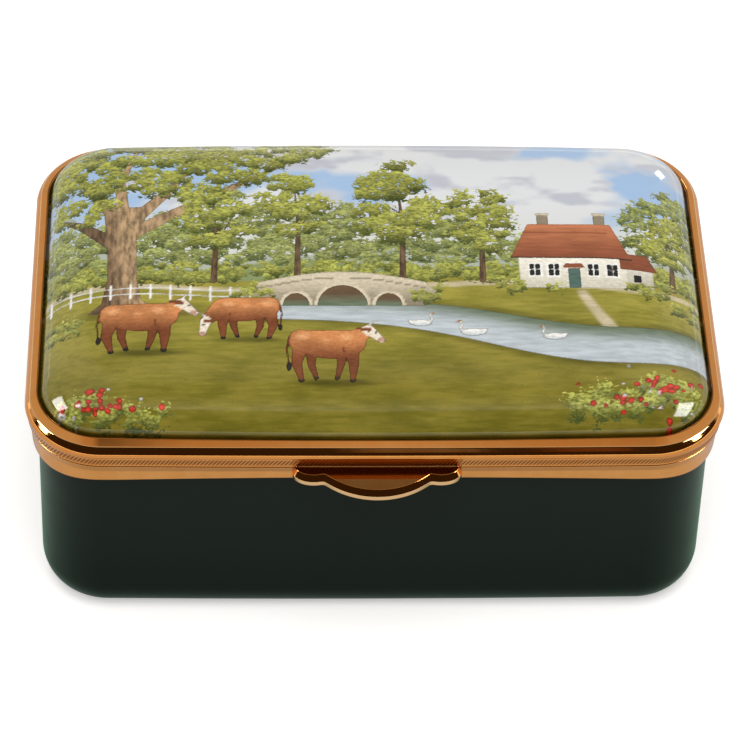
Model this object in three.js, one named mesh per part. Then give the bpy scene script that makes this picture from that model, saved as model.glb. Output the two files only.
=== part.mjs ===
import * as THREE from 'three';

// A rectangular enamelled box with a domed lid on a back hinge.
// Millimetres, +Z up. The origin is the middle of the underside, the front faces -Y.
//
// Every ring and shell follows one plan outline, a rounded rectangle with slightly bowed long sides.
// An inset says how far a surface lies inside the widest line of the bezel.

// Plan outline of the bezel, the widest part of the box
const overallWidth = 108;
const overallDepth = 69.5;
const cornerRadius = 11.9;
const mountBow = 0.45;

// Gaps between pieces
const seatGap = 0.2;
const seamGap = 0.15;
const closingGap = 0.4;

// Base: height of its gilt rim, and the mount that grips the pan
const rimHeight = 34.7;
const baseBandHeight = 2.85;
const baseBandTopInset = 0.4;
const baseBandTaper = 0.5;
const baseBandWall = 0.8;
const baseWebThickness = 0.6;
const innerLegWall = 0.8;
const innerLegHeight = 2.2;

// Collar that stands inside the base mount
const collarWall = 0.6;
const collarRise = 2.2;
const collarDepth = 2.4;

// Enamelled copper pan
const panWall = 1.6;
const panFloor = 1.8;
const panFlare = 0.45;
const footRoundWidth = 3.7;
const footRoundHeight = 5.3;

// Lid mount: milled band below, bezel with a steep and a shallow facet above
const milledHeight = 1.95;
const milledFootInset = 0.35;
const milledTopInset = 0.15;
const milledWall = 0.6;
const bezelStep = 0.25;
const steepFacetRise = 1.5;
const steepFacetRun = 0.85;
const steepFacetBulge = 0.18;
const shallowFacetRise = 0.75;
const shallowFacetRun = 1.3;
const lipDepth = 1.4;
const lipEdgeRound = 0.1;

// Enamelled lid panel
const panelGap = 0.4;
const panelBow = 1.1;
const panelWall = 1.6;
const panelFlangeHeight = 0.95;
const panelSkirt = 1.0;
const domeRise = 7.0;
const domeRun = 20;
const crownRise = 0.35;
const domeFullness = 2.5;
const domeBowLoss = 0.5;
const domeRadiusLoss = 0.35;

// Thumbpiece: a wide arc between two small lobes, with a hollow where they meet
const thumbWidth = 25.9;
const thumbReach = 5.2;
const thumbLobeRadius = 2.15;
const thumbHollowRadius = 1.2;
const thumbArcRadius = 11.8;
const thumbThickness = 1.85;
const thumbAboveSeam = 0.2;
const thumbEdgeRound = 0.4;

// Hinge: five knuckles on one pin
const hingeLength = 40;
const knuckleCount = 5;
const knuckleDiameter = 3.0;
const knuckleGap = 0.3;
const knuckleStandoff = 0.35;
const knuckleRootHeight = 1.3;
const pinDiameter = 1.3;
const pinClearance = 0.15;
const pinOverhang = 0.2;

// Mesh fineness, and the least radius that a corner or a round is given
const smallestRadius = 0.4;
const cornerSteps = 8;
const longSideSteps = 6;
const shortSideSteps = 2;
const roundSteps = 6;
const domeSteps = 10;
const circleSteps = 16;
const crownRings = [0.7, 0.4];

// Surfaces shared by neighbouring pieces, worked out from the sizes above
const bandFootInset = baseBandTopInset + baseBandTaper;
const channelOuterInset = bandFootInset + baseBandWall;
const panTopInset = channelOuterInset + seatGap;
const channelInnerInset = panTopInset + panWall + seatGap;
const innerLegInset = channelInnerInset + innerLegWall;
const collarOuterInset = innerLegInset + seatGap;
const collarInnerInset = collarOuterInset + collarWall;
const channelTop = rimHeight - baseWebThickness;
const panTop = channelTop - seatGap;

const lidBottom = rimHeight + seamGap;
const milledTop = lidBottom + milledHeight;
const steepFacetFoot = milledTop + bezelStep;
const facetEdge = steepFacetFoot + steepFacetRise;
const lipTop = facetEdge + shallowFacetRise;
const lipInset = steepFacetRun + shallowFacetRun;
const shoulder = lipTop - lipDepth;
const mountInnerInset = milledFootInset + milledWall;

const flangeTop = shoulder - seatGap;
const flangeBottom = flangeTop - panelFlangeHeight;
const flangeInset = mountInnerInset + seatGap;
const panelInset = lipInset + panelGap;
const domeFoot = flangeTop + panelSkirt;
const domeTop = domeFoot + domeRise;
const innerRimTop = flangeBottom - seatGap;
const innerRimInset = collarOuterInset - closingGap;

const hingeAxisY = overallDepth / 2 - baseBandTopInset + knuckleDiameter / 2 + knuckleStandoff;
const hingeAxisZ = rimHeight + seamGap / 2;

// Finishes
function finish(color, roughness, metalness) {
  return new THREE.MeshStandardMaterial({ color, roughness, metalness });
}

const polishedGilt = () => finish('#c98a4b', 0.12, 1);
const satinGilt = () => finish('#b97f42', 0.3, 1);
const darkGreenEnamel = () => finish('#1f2a24', 0.28, 0);
const paintedEnamel = () => finish('#77753a', 0.12, 0);

// One closed plan outline, counter-clockwise from the right front, always with the same point count.
function outline(inset, bow = mountBow, radius = Math.max(cornerRadius - inset, smallestRadius)) {
  const halfWidth = overallWidth / 2 - inset;
  const halfDepth = overallDepth / 2 - inset;
  const points = [];

  const add = (x, y) => {
    const sag = bow * (x / halfWidth) ** 2;
    points.push([x, y - Math.sign(y) * sag * Math.min(Math.abs(y) / (halfDepth - radius), 1)]);
  };

  const corner = (centreX, centreY, startAngle) => {
    for (let i = 0; i <= cornerSteps; i++) {
      const angle = startAngle + (i / cornerSteps) * (Math.PI / 2);
      add(centreX + radius * Math.cos(angle), centreY + radius * Math.sin(angle));
    }
  };

  const side = (fromX, fromY, toX, toY, steps) => {
    for (let i = 1; i < steps; i++) {
      add(fromX + ((toX - fromX) * i) / steps, fromY + ((toY - fromY) * i) / steps);
    }
  };

  const cornerX = halfWidth - radius;
  const cornerY = halfDepth - radius;
  corner(cornerX, -cornerY, -Math.PI / 2);
  side(halfWidth, -cornerY, halfWidth, cornerY, shortSideSteps);
  corner(cornerX, cornerY, 0);
  side(cornerX, halfDepth, -cornerX, halfDepth, longSideSteps);
  corner(-cornerX, cornerY, Math.PI / 2);
  side(-halfWidth, cornerY, -halfWidth, -cornerY, shortSideSteps);
  corner(-cornerX, -cornerY, Math.PI);
  side(-cornerX, -halfDepth, cornerX, -halfDepth, longSideSteps);
  return points;
}

// A level loop of 3-D points.
function loop(inset, z, bow, radius) {
  return outline(inset, bow, radius).map(([x, y]) => [x, y, z]);
}

function shrink(points, scale, z) {
  return points.map(([x, y]) => [x * scale, y * scale, z]);
}

// Joins loops into one closed surface. A ring comes back to its first loop; a shell starts and ends
// in a centre point at the given heights.
function skin(loops, centres = null) {
  const count = loops[0].length;
  const positions = loops.flat(2);
  const faces = [];

  const joined = centres ? loops.length - 1 : loops.length;
  for (let i = 0; i < joined; i++) {
    const here = i * count;
    const next = ((i + 1) % loops.length) * count;
    for (let j = 0; j < count; j++) {
      const k = (j + 1) % count;
      faces.push(here + j, here + k, next + k, here + j, next + k, next + j);
    }
  }

  if (centres) {
    const first = loops.length * count;
    const last = first + 1;
    const lastLoop = (loops.length - 1) * count;
    positions.push(0, 0, centres[0], 0, 0, centres[1]);
    for (let j = 0; j < count; j++) {
      const k = (j + 1) % count;
      faces.push(first, k, j, last, lastLoop + j, lastLoop + k);
    }
  }

  const geometry = new THREE.BufferGeometry();
  geometry.setAttribute('position', new THREE.Float32BufferAttribute(positions, 3));
  geometry.setIndex(faces);
  geometry.computeVertexNormals();
  return geometry;
}

function piece(name, geometry, material) {
  const mesh = new THREE.Mesh(geometry, material);
  mesh.name = name;
  return mesh;
}

// Fractions from 0 to 1, both ends included.
function fractions(steps) {
  return Array.from({ length: steps + 1 }, (_, i) => i / steps);
}

// The pan: up the outside from the middle of the underside, over the rim and down the inside.
function makeBaseBody() {
  const footInset = panTopInset - panFlare;
  const innerRoundWidth = Math.max(footRoundWidth - panWall, smallestRadius);
  const innerRoundHeight = Math.max(footRoundHeight - panFloor, smallestRadius);
  const loops = [];
  for (const t of fractions(roundSteps)) {
    const angle = (t * Math.PI) / 2;
    const inset = footInset + footRoundWidth * (1 - Math.sin(angle));
    loops.push(loop(inset, footRoundHeight * (1 - Math.cos(angle))));
  }
  loops.push(loop(panTopInset, panTop));
  loops.push(loop(panTopInset + panWall, panTop));
  for (const t of fractions(roundSteps)) {
    const angle = (t * Math.PI) / 2;
    const inset = footInset + panWall + innerRoundWidth * (1 - Math.cos(angle));
    loops.push(loop(inset, panFloor + innerRoundHeight * (1 - Math.sin(angle))));
  }
  return piece('base_body', skin(loops, [0, panFloor]), darkGreenEnamel());
}

// The base mount is an upside-down channel over the rim of the pan.
function makeBaseMount() {
  const section = [
    [bandFootInset, rimHeight - baseBandHeight],
    [baseBandTopInset, rimHeight],
    [innerLegInset, rimHeight],
    [innerLegInset, rimHeight - innerLegHeight],
    [channelInnerInset, rimHeight - innerLegHeight],
    [channelInnerInset, channelTop],
    [channelOuterInset, channelTop],
    [channelOuterInset, rimHeight - baseBandHeight],
  ];
  return piece('base_mount', skin(section.map(([inset, z]) => loop(inset, z))), satinGilt());
}

function makeBaseCollar() {
  const lead = collarWall / 3;
  const section = [
    [collarOuterInset, rimHeight - collarDepth],
    [collarOuterInset, rimHeight + collarRise - lead],
    [collarOuterInset + lead, rimHeight + collarRise],
    [collarInnerInset, rimHeight + collarRise],
    [collarInnerInset, rimHeight - collarDepth],
  ];
  return piece('base_collar', skin(section.map(([inset, z]) => loop(inset, z))), satinGilt());
}

// The lid mount: milled band, step, steep facet, shallow facet, lip and the shoulder inside it.
function makeLidMount() {
  const section = [
    [milledFootInset, lidBottom],
    [milledTopInset, milledTop],
    [0, steepFacetFoot],
    [steepFacetRun / 2 - steepFacetBulge, steepFacetFoot + steepFacetRise / 2],
    [steepFacetRun, facetEdge],
    [lipInset - lipEdgeRound, lipTop, panelBow],
    [lipInset, lipTop - lipEdgeRound, panelBow],
    [lipInset, shoulder, panelBow],
    [mountInnerInset, shoulder],
    [mountInnerInset, lidBottom],
  ];
  return piece('lid_mount', skin(section.map(([inset, z, bow]) => loop(inset, z, bow))), polishedGilt());
}

function makeLidInnerRim() {
  const section = [
    [flangeInset, lidBottom],
    [flangeInset, innerRimTop],
    [innerRimInset, innerRimTop],
    [innerRimInset, lidBottom],
  ];
  return piece('lid_inner_rim', skin(section.map(([inset, z]) => loop(inset, z))), satinGilt());
}

// Loops of a dome that rises from an inset, steep at its edge and nearly level in the middle.
function domeLoops(rimInset, foot, rise, run, steps) {
  const rimRadius = cornerRadius - rimInset;
  const loops = fractions(steps).map((t) => {
    const along = run * t * t;
    const height = rise * Math.sqrt(1 - (1 - along / run) ** domeFullness);
    const bow = panelBow * (1 - t * domeBowLoss);
    return loop(rimInset + along, foot + height, bow, rimRadius * (1 - t * domeRadiusLoss));
  });
  const rimOfCrown = loops[loops.length - 1];
  for (const scale of crownRings) {
    loops.push(shrink(rimOfCrown, scale, foot + rise + crownRise * (1 - scale * scale)));
  }
  return loops;
}

function makeLidPanel() {
  const innerInset = panelInset + panelWall;
  const outer = domeLoops(panelInset, domeFoot, domeRise, domeRun, domeSteps);
  const inner = domeLoops(innerInset, domeFoot, domeRise - panelWall, domeRun - panelWall, domeSteps / 2);
  const loops = [
    ...inner.reverse(),
    loop(innerInset, flangeBottom, panelBow),
    loop(flangeInset, flangeBottom),
    loop(flangeInset, flangeTop),
    loop(panelInset, flangeTop, panelBow),
    ...outer,
  ];
  const centres = [domeTop - panelWall + crownRise, domeTop + crownRise];
  return piece('lid_panel', skin(loops, centres), paintedEnamel());
}

// Points along an arc of a circle, both ends included.
function arc(centreX, centreY, radius, from, to, steps) {
  return fractions(steps).map((t) => {
    const angle = from + (to - from) * t;
    return [centreX + radius * Math.cos(angle), centreY + radius * Math.sin(angle)];
  });
}

// The thumbpiece: a wide arc between two small lobes on a straight back edge, cut from plate.
function makeThumbpiece() {
  const lobeX = thumbWidth / 2 - thumbLobeRadius;
  const arcCentre = thumbReach - thumbArcRadius;
  // The hollow touches the wide arc and the level foot of a lobe
  const hollowY = thumbLobeRadius + thumbHollowRadius;
  const hollowX = Math.sqrt((thumbArcRadius + thumbHollowRadius) ** 2 - (hollowY - arcCentre) ** 2);
  const meeting = Math.atan2(hollowY - arcCentre, hollowX);

  const rightHalf = [
    ...arc(lobeX, 0, thumbLobeRadius, 0, Math.PI / 2, roundSteps),
    ...arc(hollowX, hollowY, thumbHollowRadius, -Math.PI / 2, meeting - Math.PI, roundSteps / 2),
    ...arc(0, arcCentre, thumbArcRadius, meeting, Math.PI / 2, roundSteps).slice(1),
  ];
  const leftHalf = rightHalf.slice(0, -1).reverse().map(([x, y]) => [-x, y]);
  const shape = new THREE.Shape([...rightHalf, ...leftHalf].map(([x, y]) => new THREE.Vector2(x, y)));

  const geometry = new THREE.ExtrudeGeometry(shape, {
    depth: thumbThickness - 2 * thumbEdgeRound,
    bevelEnabled: true,
    bevelThickness: thumbEdgeRound,
    bevelSize: thumbEdgeRound,
    bevelOffset: -thumbEdgeRound,
    bevelSegments: 2,
  });
  const mesh = piece('thumbpiece', geometry, polishedGilt());
  mesh.rotation.x = Math.PI;
  mesh.position.set(
    0,
    -(overallDepth / 2 - milledFootInset + seatGap),
    lidBottom + thumbAboveSeam - thumbEdgeRound,
  );
  return mesh;
}

// Knuckle section in the YZ plane round the hinge axis: a tube with a root towards the mount.
function knuckleShape(rootReach, rootSide) {
  const radius = knuckleDiameter / 2;
  const near = rootSide * (radius - knuckleRootHeight);
  const far = rootSide * radius;
  const nearAngle = Math.PI - Math.asin(near / radius);
  const shape = new THREE.Shape();
  if (rootSide > 0) {
    shape.absarc(0, 0, radius, nearAngle - 2 * Math.PI, Math.PI / 2, false);
    shape.lineTo(-rootReach, far);
    shape.lineTo(-rootReach, near);
  } else {
    shape.absarc(0, 0, radius, -Math.PI / 2, nearAngle, false);
    shape.lineTo(-rootReach, near);
    shape.lineTo(-rootReach, far);
  }
  shape.closePath();
  const bore = new THREE.Path();
  bore.absarc(0, 0, pinDiameter / 2 + pinClearance, 0, 2 * Math.PI, true);
  shape.holes.push(bore);
  return shape;
}

// Turns an extruded section so that its X, Y and depth point along Y, Z and X, centred on the axis.
function placeOnAxis(mesh, length, centreX) {
  mesh.quaternion.setFromAxisAngle(new THREE.Vector3(1, 1, 1).normalize(), (2 * Math.PI) / 3);
  mesh.position.set(centreX - length / 2, hingeAxisY, hingeAxisZ);
  return mesh;
}

function makeKnuckle(name, place, rootReach, rootSide) {
  const pitch = hingeLength / knuckleCount;
  const length = pitch - knuckleGap;
  const geometry = new THREE.ExtrudeGeometry(knuckleShape(rootReach, rootSide), {
    depth: length,
    curveSegments: circleSteps,
    bevelEnabled: false,
  });
  const centreX = (place - (knuckleCount - 1) / 2) * pitch;
  return placeOnAxis(piece(name, geometry, satinGilt()), length, centreX);
}

function makeHingePin() {
  const length = hingeLength - knuckleGap + 2 * pinOverhang;
  const geometry = new THREE.CylinderGeometry(pinDiameter / 2, pinDiameter / 2, length, circleSteps);
  const mesh = piece('hinge_pin', geometry, satinGilt());
  mesh.rotation.z = Math.PI / 2;
  mesh.position.set(0, hingeAxisY, hingeAxisZ);
  return mesh;
}

const base = new THREE.Group();
base.add(makeBaseBody(), makeBaseMount(), makeBaseCollar(), makeHingePin());

const lid = new THREE.Group();
lid.add(makeLidMount(), makeLidInnerRim(), makeLidPanel(), makeThumbpiece());

// Base knuckles at the ends and in the middle, lid knuckles between them
const baseRootReach = knuckleDiameter / 2 + knuckleStandoff - seatGap;
const lidRootReach = baseRootReach - (baseBandTopInset - milledTopInset);
base.add(
  makeKnuckle('base_knuckle_left', 0, baseRootReach, -1),
  makeKnuckle('base_knuckle_centre', 2, baseRootReach, -1),
  makeKnuckle('base_knuckle_right', 4, baseRootReach, -1),
);
lid.add(
  makeKnuckle('lid_knuckle_left', 1, lidRootReach, 1),
  makeKnuckle('lid_knuckle_right', 3, lidRootReach, 1),
);

const box = new THREE.Group();
box.name = 'enamel_trinket_box';
box.add(base, lid);

export default box;
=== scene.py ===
import math

import bmesh
import bpy
import numpy as np
from mathutils import Matrix, Vector


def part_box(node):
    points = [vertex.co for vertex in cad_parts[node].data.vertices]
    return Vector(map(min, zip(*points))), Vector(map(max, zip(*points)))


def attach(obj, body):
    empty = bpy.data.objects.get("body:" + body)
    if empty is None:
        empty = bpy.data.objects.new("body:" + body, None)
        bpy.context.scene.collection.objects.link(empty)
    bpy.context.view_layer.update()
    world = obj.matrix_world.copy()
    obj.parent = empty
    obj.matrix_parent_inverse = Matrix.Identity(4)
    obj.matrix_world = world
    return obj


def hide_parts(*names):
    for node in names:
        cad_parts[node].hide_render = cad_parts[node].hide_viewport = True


# An enamelled box with a domed painted lid, gilt mounts and a back hinge.
# Metres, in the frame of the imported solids: the front faces -Y and the underside lies on Z = 0.

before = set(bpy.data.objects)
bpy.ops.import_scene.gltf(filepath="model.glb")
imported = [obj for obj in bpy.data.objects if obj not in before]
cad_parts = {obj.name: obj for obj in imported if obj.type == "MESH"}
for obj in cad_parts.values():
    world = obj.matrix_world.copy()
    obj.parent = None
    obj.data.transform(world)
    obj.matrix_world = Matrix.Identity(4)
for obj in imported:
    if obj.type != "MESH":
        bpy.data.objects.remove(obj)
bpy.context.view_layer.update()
MM = 0.001

# Plan outline: the widest line of the bezel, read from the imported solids
MOUNT_LOW, MOUNT_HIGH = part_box("lid_mount")
HALF_WIDTH = (MOUNT_HIGH.x - MOUNT_LOW.x) / 2
HALF_DEPTH = (MOUNT_HIGH.y - MOUNT_LOW.y) / 2
CORNER_RADIUS = 11.9 * MM
MOUNT_BOW = 0.45 * MM
PANEL_BOW = 1.1 * MM

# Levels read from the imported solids
LID_BOTTOM = MOUNT_LOW.z
LIP_TOP = MOUNT_HIGH.z
BAND_FOOT, RIM_HEIGHT = (corner.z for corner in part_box("base_mount"))
PAN_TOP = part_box("base_body")[1].z
COLLAR_FOOT, COLLAR_TOP = (corner.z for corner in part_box("base_collar"))
INNER_RIM_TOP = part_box("lid_inner_rim")[1].z
FLANGE_FOOT, PANEL_TOP = (corner.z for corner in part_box("lid_panel"))

# Sizes of the solids that their boxes don't give
SEAT_GAP = 0.2 * MM
BAND_TOP_INSET = 0.4 * MM
BAND_FOOT_INSET = 0.9 * MM
BAND_WALL = 0.8 * MM
WEB_THICKNESS = 0.6 * MM
LEG_WALL = 0.8 * MM
LEG_HEIGHT = 2.2 * MM
COLLAR_WALL = 0.6 * MM
CLOSING_GAP = 0.4 * MM
PAN_WALL = 1.6 * MM
PAN_FLOOR = 1.8 * MM
PAN_FLARE = 0.45 * MM
FOOT_ROUND_WIDTH = 3.7 * MM
FOOT_ROUND_HEIGHT = 5.3 * MM
MILLED_HEIGHT = 1.95 * MM
MILLED_FOOT_INSET = 0.35 * MM
MILLED_TOP_INSET = 0.15 * MM
MILLED_WALL = 0.6 * MM
BEZEL_STEP = 0.25 * MM
STEEP_RISE = 1.5 * MM
STEEP_RUN = 0.85 * MM
STEEP_BULGE = 0.18 * MM
SHALLOW_RUN = 1.3 * MM
LIP_DEPTH = 1.4 * MM
PANEL_GAP = 0.4 * MM
PANEL_WALL = 1.6 * MM
PANEL_SKIRT = 1.0 * MM
DOME_RUN = 20 * MM
CROWN_RISE = 0.35 * MM
DOME_FULLNESS = 2.5
DOME_BOW_LOSS = 0.5
DOME_RADIUS_LOSS = 0.35
KNUCKLE_ROOT_HEIGHT = 1.3 * MM
BORE_RADIUS = 0.8 * MM

PAN_INSET = BAND_FOOT_INSET + BAND_WALL + SEAT_GAP
CHANNEL_INNER_INSET = PAN_INSET + PAN_WALL + SEAT_GAP
LEG_INSET = CHANNEL_INNER_INSET + LEG_WALL
COLLAR_INSET = LEG_INSET + SEAT_GAP
LIP_INSET = STEEP_RUN + SHALLOW_RUN
MOUNT_INNER_INSET = MILLED_FOOT_INSET + MILLED_WALL
FLANGE_INSET = MOUNT_INNER_INSET + SEAT_GAP
PANEL_INSET = LIP_INSET + PANEL_GAP
MILLED_TOP = LID_BOTTOM + MILLED_HEIGHT
STEEP_FOOT = MILLED_TOP + BEZEL_STEP
FACET_EDGE = STEEP_FOOT + STEEP_RISE
SHOULDER = LIP_TOP - LIP_DEPTH
FLANGE_TOP = SHOULDER - SEAT_GAP
DOME_FOOT = FLANGE_TOP + PANEL_SKIRT
DOME_RISE = PANEL_TOP - CROWN_RISE - DOME_FOOT

# Camera: angles in degrees and lens, solved from the outline of the box in the photograph
CAMERA_AZIMUTH = -2.90
CAMERA_ELEVATION = 45.79
CAMERA_ROLL = 2.04
CAMERA_DISTANCE = 0.56345
CAMERA_TARGET = Vector((0, 0, 0.020))
CAMERA_FOCAL_PX = 3471.4
PRINCIPAL_SHIFT_PX = (-5.74, -1.73)
PHOTO_SIZE_PX = 750
SENSOR_MM = 36
CLIP_START = 0.01


def ease(value, low, high):
    """0 below low, 1 above high and a smooth step between."""
    share = np.clip((value - low) / (high - low), 0, 1)
    return share * share * (3 - 2 * share)


def blend(first, second, share):
    return first + (np.asarray(second) - first) * share[..., None]


# Plan outline. Positions run counter-clockwise along the bezel from the middle of the front.
STRAIGHT_X = HALF_WIDTH - CORNER_RADIUS
STRAIGHT_Y = HALF_DEPTH - CORNER_RADIUS
CORNER_ARC = CORNER_RADIUS * math.pi / 2
SEGMENTS = [STRAIGHT_X, CORNER_ARC, 2 * STRAIGHT_Y, CORNER_ARC, 2 * STRAIGHT_X,
            CORNER_ARC, 2 * STRAIGHT_Y, CORNER_ARC, STRAIGHT_X]
BREAKS = np.cumsum([0, *SEGMENTS])
PERIMETER = BREAKS[-1]
BREAK_X = [0, 1, 1, 1, 1, -1, -1, -1, -1, 0]
BREAK_Y = [-1, -1, -1, 1, 1, 1, 1, -1, -1, -1]
BREAK_ANGLE = np.radians([-90, -90, 0, 0, 90, 90, 180, 180, 270, 270])


def positions_along(corner_steps, long_steps, short_steps):
    """Positions along the outline, closest together in the corners."""
    half_long = long_steps // 2
    steps = [half_long, corner_steps, short_steps, corner_steps, long_steps,
             corner_steps, short_steps, corner_steps, half_long]
    parts = [BREAKS[i] + SEGMENTS[i] * np.arange(n) / n for i, n in enumerate(steps)]
    return np.concatenate(parts)


def plan(positions, inset, bow=MOUNT_BOW, radius=None):
    """X and Y of positions on the outline at an inset, with bowed long sides."""
    along = np.mod(positions, PERIMETER)
    corner_x = np.interp(along, BREAKS, BREAK_X)
    corner_y = np.interp(along, BREAKS, BREAK_Y)
    angle = np.interp(along, BREAKS, BREAK_ANGLE)
    return place_on_plan(corner_x, corner_y, np.cos(angle), np.sin(angle), inset, bow, radius)


def place_on_plan(corner_x, corner_y, arm_x, arm_y, inset, bow, radius=None):
    """A plan point from its share of the corner centre and its arm from there."""
    round_radius = CORNER_RADIUS - inset if radius is None else radius
    half_x = HALF_WIDTH - inset
    centre_y = HALF_DEPTH - inset - round_radius
    x = corner_x * (half_x - round_radius) + arm_x * round_radius
    y = corner_y * centre_y + arm_y * round_radius
    sag = bow * (x / half_x) ** 2 * np.minimum(np.abs(y) / centre_y, 1)
    return x, y - np.sign(y) * sag


# Mesh making. A round takes up no more than LONGEST_ROUND of an edge, and the row beside it
# lies SUPPORT away, or SUPPORT_SHARE of a short edge.
LONGEST_ROUND = 0.44
SUPPORT = 0.06 * MM
SUPPORT_SHARE = 0.05


def rounded(corners, steps=4):
    """Rows (inset, height, bow) of a closed section from its corners, which also give a radius.

    A row beside each round keeps the flat between two rounds flat when it is shaded.
    """
    rows = []
    for i, (*place, radius) in enumerate(corners):
        here = np.array(place)
        to_last = np.array(corners[i - 1][:3]) - here
        to_next = np.array(corners[(i + 1) % len(corners)][:3]) - here
        if radius == 0:
            rows.append(here)
            continue
        reach_last, reach_next = np.hypot(*to_last[:2]), np.hypot(*to_next[:2])
        cosine = to_last[:2] @ to_next[:2] / (reach_last * reach_next)
        half_turn = (math.pi - math.acos(cosine)) / 2
        setback = min(radius * math.tan(half_turn), LONGEST_ROUND * reach_last,
                      LONGEST_ROUND * reach_next)
        start = here + to_last / reach_last * setback
        end = here + to_next / reach_next * setback
        rows.append(start + to_last / reach_last * min(SUPPORT, SUPPORT_SHARE * reach_last))
        for t in np.linspace(0, 1, steps + 1):
            pull = 2 * math.cos(half_turn) * t * (1 - t)
            total = (1 - t) ** 2 + pull + t ** 2
            rows.append(((1 - t) ** 2 * start + pull * here + t ** 2 * end) / total)
        rows.append(end + to_next / reach_next * min(SUPPORT, SUPPORT_SHARE * reach_next))
    return np.array(rows)


def ring_points(rows, positions, radius=None):
    """Rows of a section swept round the outline: an array of rows by positions by 3."""
    inset, height, bow = (column[:, None] for column in np.asarray(rows).T)
    x, y = plan(positions[None, :], inset, bow, radius)
    return np.stack([x, y, np.broadcast_to(height, x.shape)], axis=-1)


def grid_quads(rows, columns, wrap_rows, wrap_columns):
    """Quads of a grid of points, with either direction closed on itself."""
    row = np.arange(rows if wrap_rows else rows - 1)[:, None]
    column = np.arange(columns if wrap_columns else columns - 1)[None, :]
    next_row, next_column = (row + 1) % rows, (column + 1) % columns
    corners = [row * columns + column, row * columns + next_column,
               next_row * columns + next_column, next_row * columns + column]
    return np.stack([np.broadcast_to(c, (row.size, column.size)) for c in corners], -1).reshape(-1, 4)


def fan(centre, loop):
    """Triangles from a centre vertex to a closed loop of vertices."""
    return np.stack([np.full_like(loop, centre), loop, np.roll(loop, -1)], -1)


def link(name, data):
    """A new object in the scene that holds the data."""
    thing = bpy.data.objects.new(name, data)
    bpy.context.scene.collection.objects.link(thing)
    return thing


def make_piece(name, points, face_sets, materials, body, replaced, material_indices=None):
    """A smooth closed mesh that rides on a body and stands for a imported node.

    The face sets are arrays of vertex numbers; the material of each face is the first one
    unless the indices say otherwise.
    """
    faces = [face for face_set in face_sets for face in face_set.tolist()]
    mesh = bpy.data.meshes.new(name)
    mesh.from_pydata(np.asarray(points).reshape(-1, 3).tolist(), [], faces)
    shell = bmesh.new()
    shell.from_mesh(mesh)
    bmesh.ops.recalc_face_normals(shell, faces=shell.faces)
    shell.to_mesh(mesh)
    shell.free()
    mesh.shade_smooth()
    for material in materials:
        mesh.materials.append(material)
    if material_indices is not None:
        mesh.polygons.foreach_set("material_index", material_indices.astype(np.int32))
    piece = link(name, mesh)
    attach(piece, body)
    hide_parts(replaced)
    return piece


def set_floats(piece, name, values):
    """A named number at every vertex of a piece, for its material to read."""
    attribute = piece.data.attributes.new(name, "FLOAT", "POINT")
    attribute.data.foreach_set("value", np.ascontiguousarray(values, np.float32).ravel())


def set_colours(mesh, name, colours):
    """A named colour at every vertex of a mesh, for its material to read."""
    attribute = mesh.color_attributes.new(name, "FLOAT_COLOR", "POINT")
    with_alpha = np.column_stack([colours, np.ones(len(colours))])
    attribute.data.foreach_set("color", with_alpha.ravel())


def make_ring(name, replaced, points, material, body):
    """A gilt section that is closed in itself and round the outline."""
    faces = grid_quads(points.shape[0], points.shape[1], True, True)
    return make_piece(name, points, [faces], [material], body, replaced)


# Base pieces
RING_POSITIONS = positions_along(26, 60, 30)
PAN_FOOT_INSET = PAN_INSET - PAN_FLARE
CHANNEL_TOP = RIM_HEIGHT - WEB_THICKNESS
FLOOR_SCALES = (0.02, 0.3, 0.7, 0.93, 0.99)
FINE_ROUND = 0.12 * MM
SOFT_ROUND = 0.3 * MM


def foot_round(width, height, inset, level, steps=12):
    """Rows of an elliptical round from a level floor up to a wall."""
    angles = np.linspace(0, math.pi / 2, steps + 1)
    return [(inset + width * (1 - math.sin(a)), level + height * (1 - math.cos(a)), MOUNT_BOW)
            for a in angles]


def floor_loops(loop):
    """The loop of a floor's edge drawn in towards the middle, innermost first."""
    return np.stack([loop * (scale, scale, 1) for scale in FLOOR_SCALES])


PAN_RIM_EASE = 0.3 * MM
WALL_SHARES = (0.03, 0.15, 0.4, 0.7, 0.9, 0.99)


def wall_rows(foot, top):
    """Rows up a wall between its foot and its top, closest together at both ends."""
    foot, top = np.array(foot), np.array(top)
    return [foot + (top - foot) * share for share in WALL_SHARES]


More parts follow.
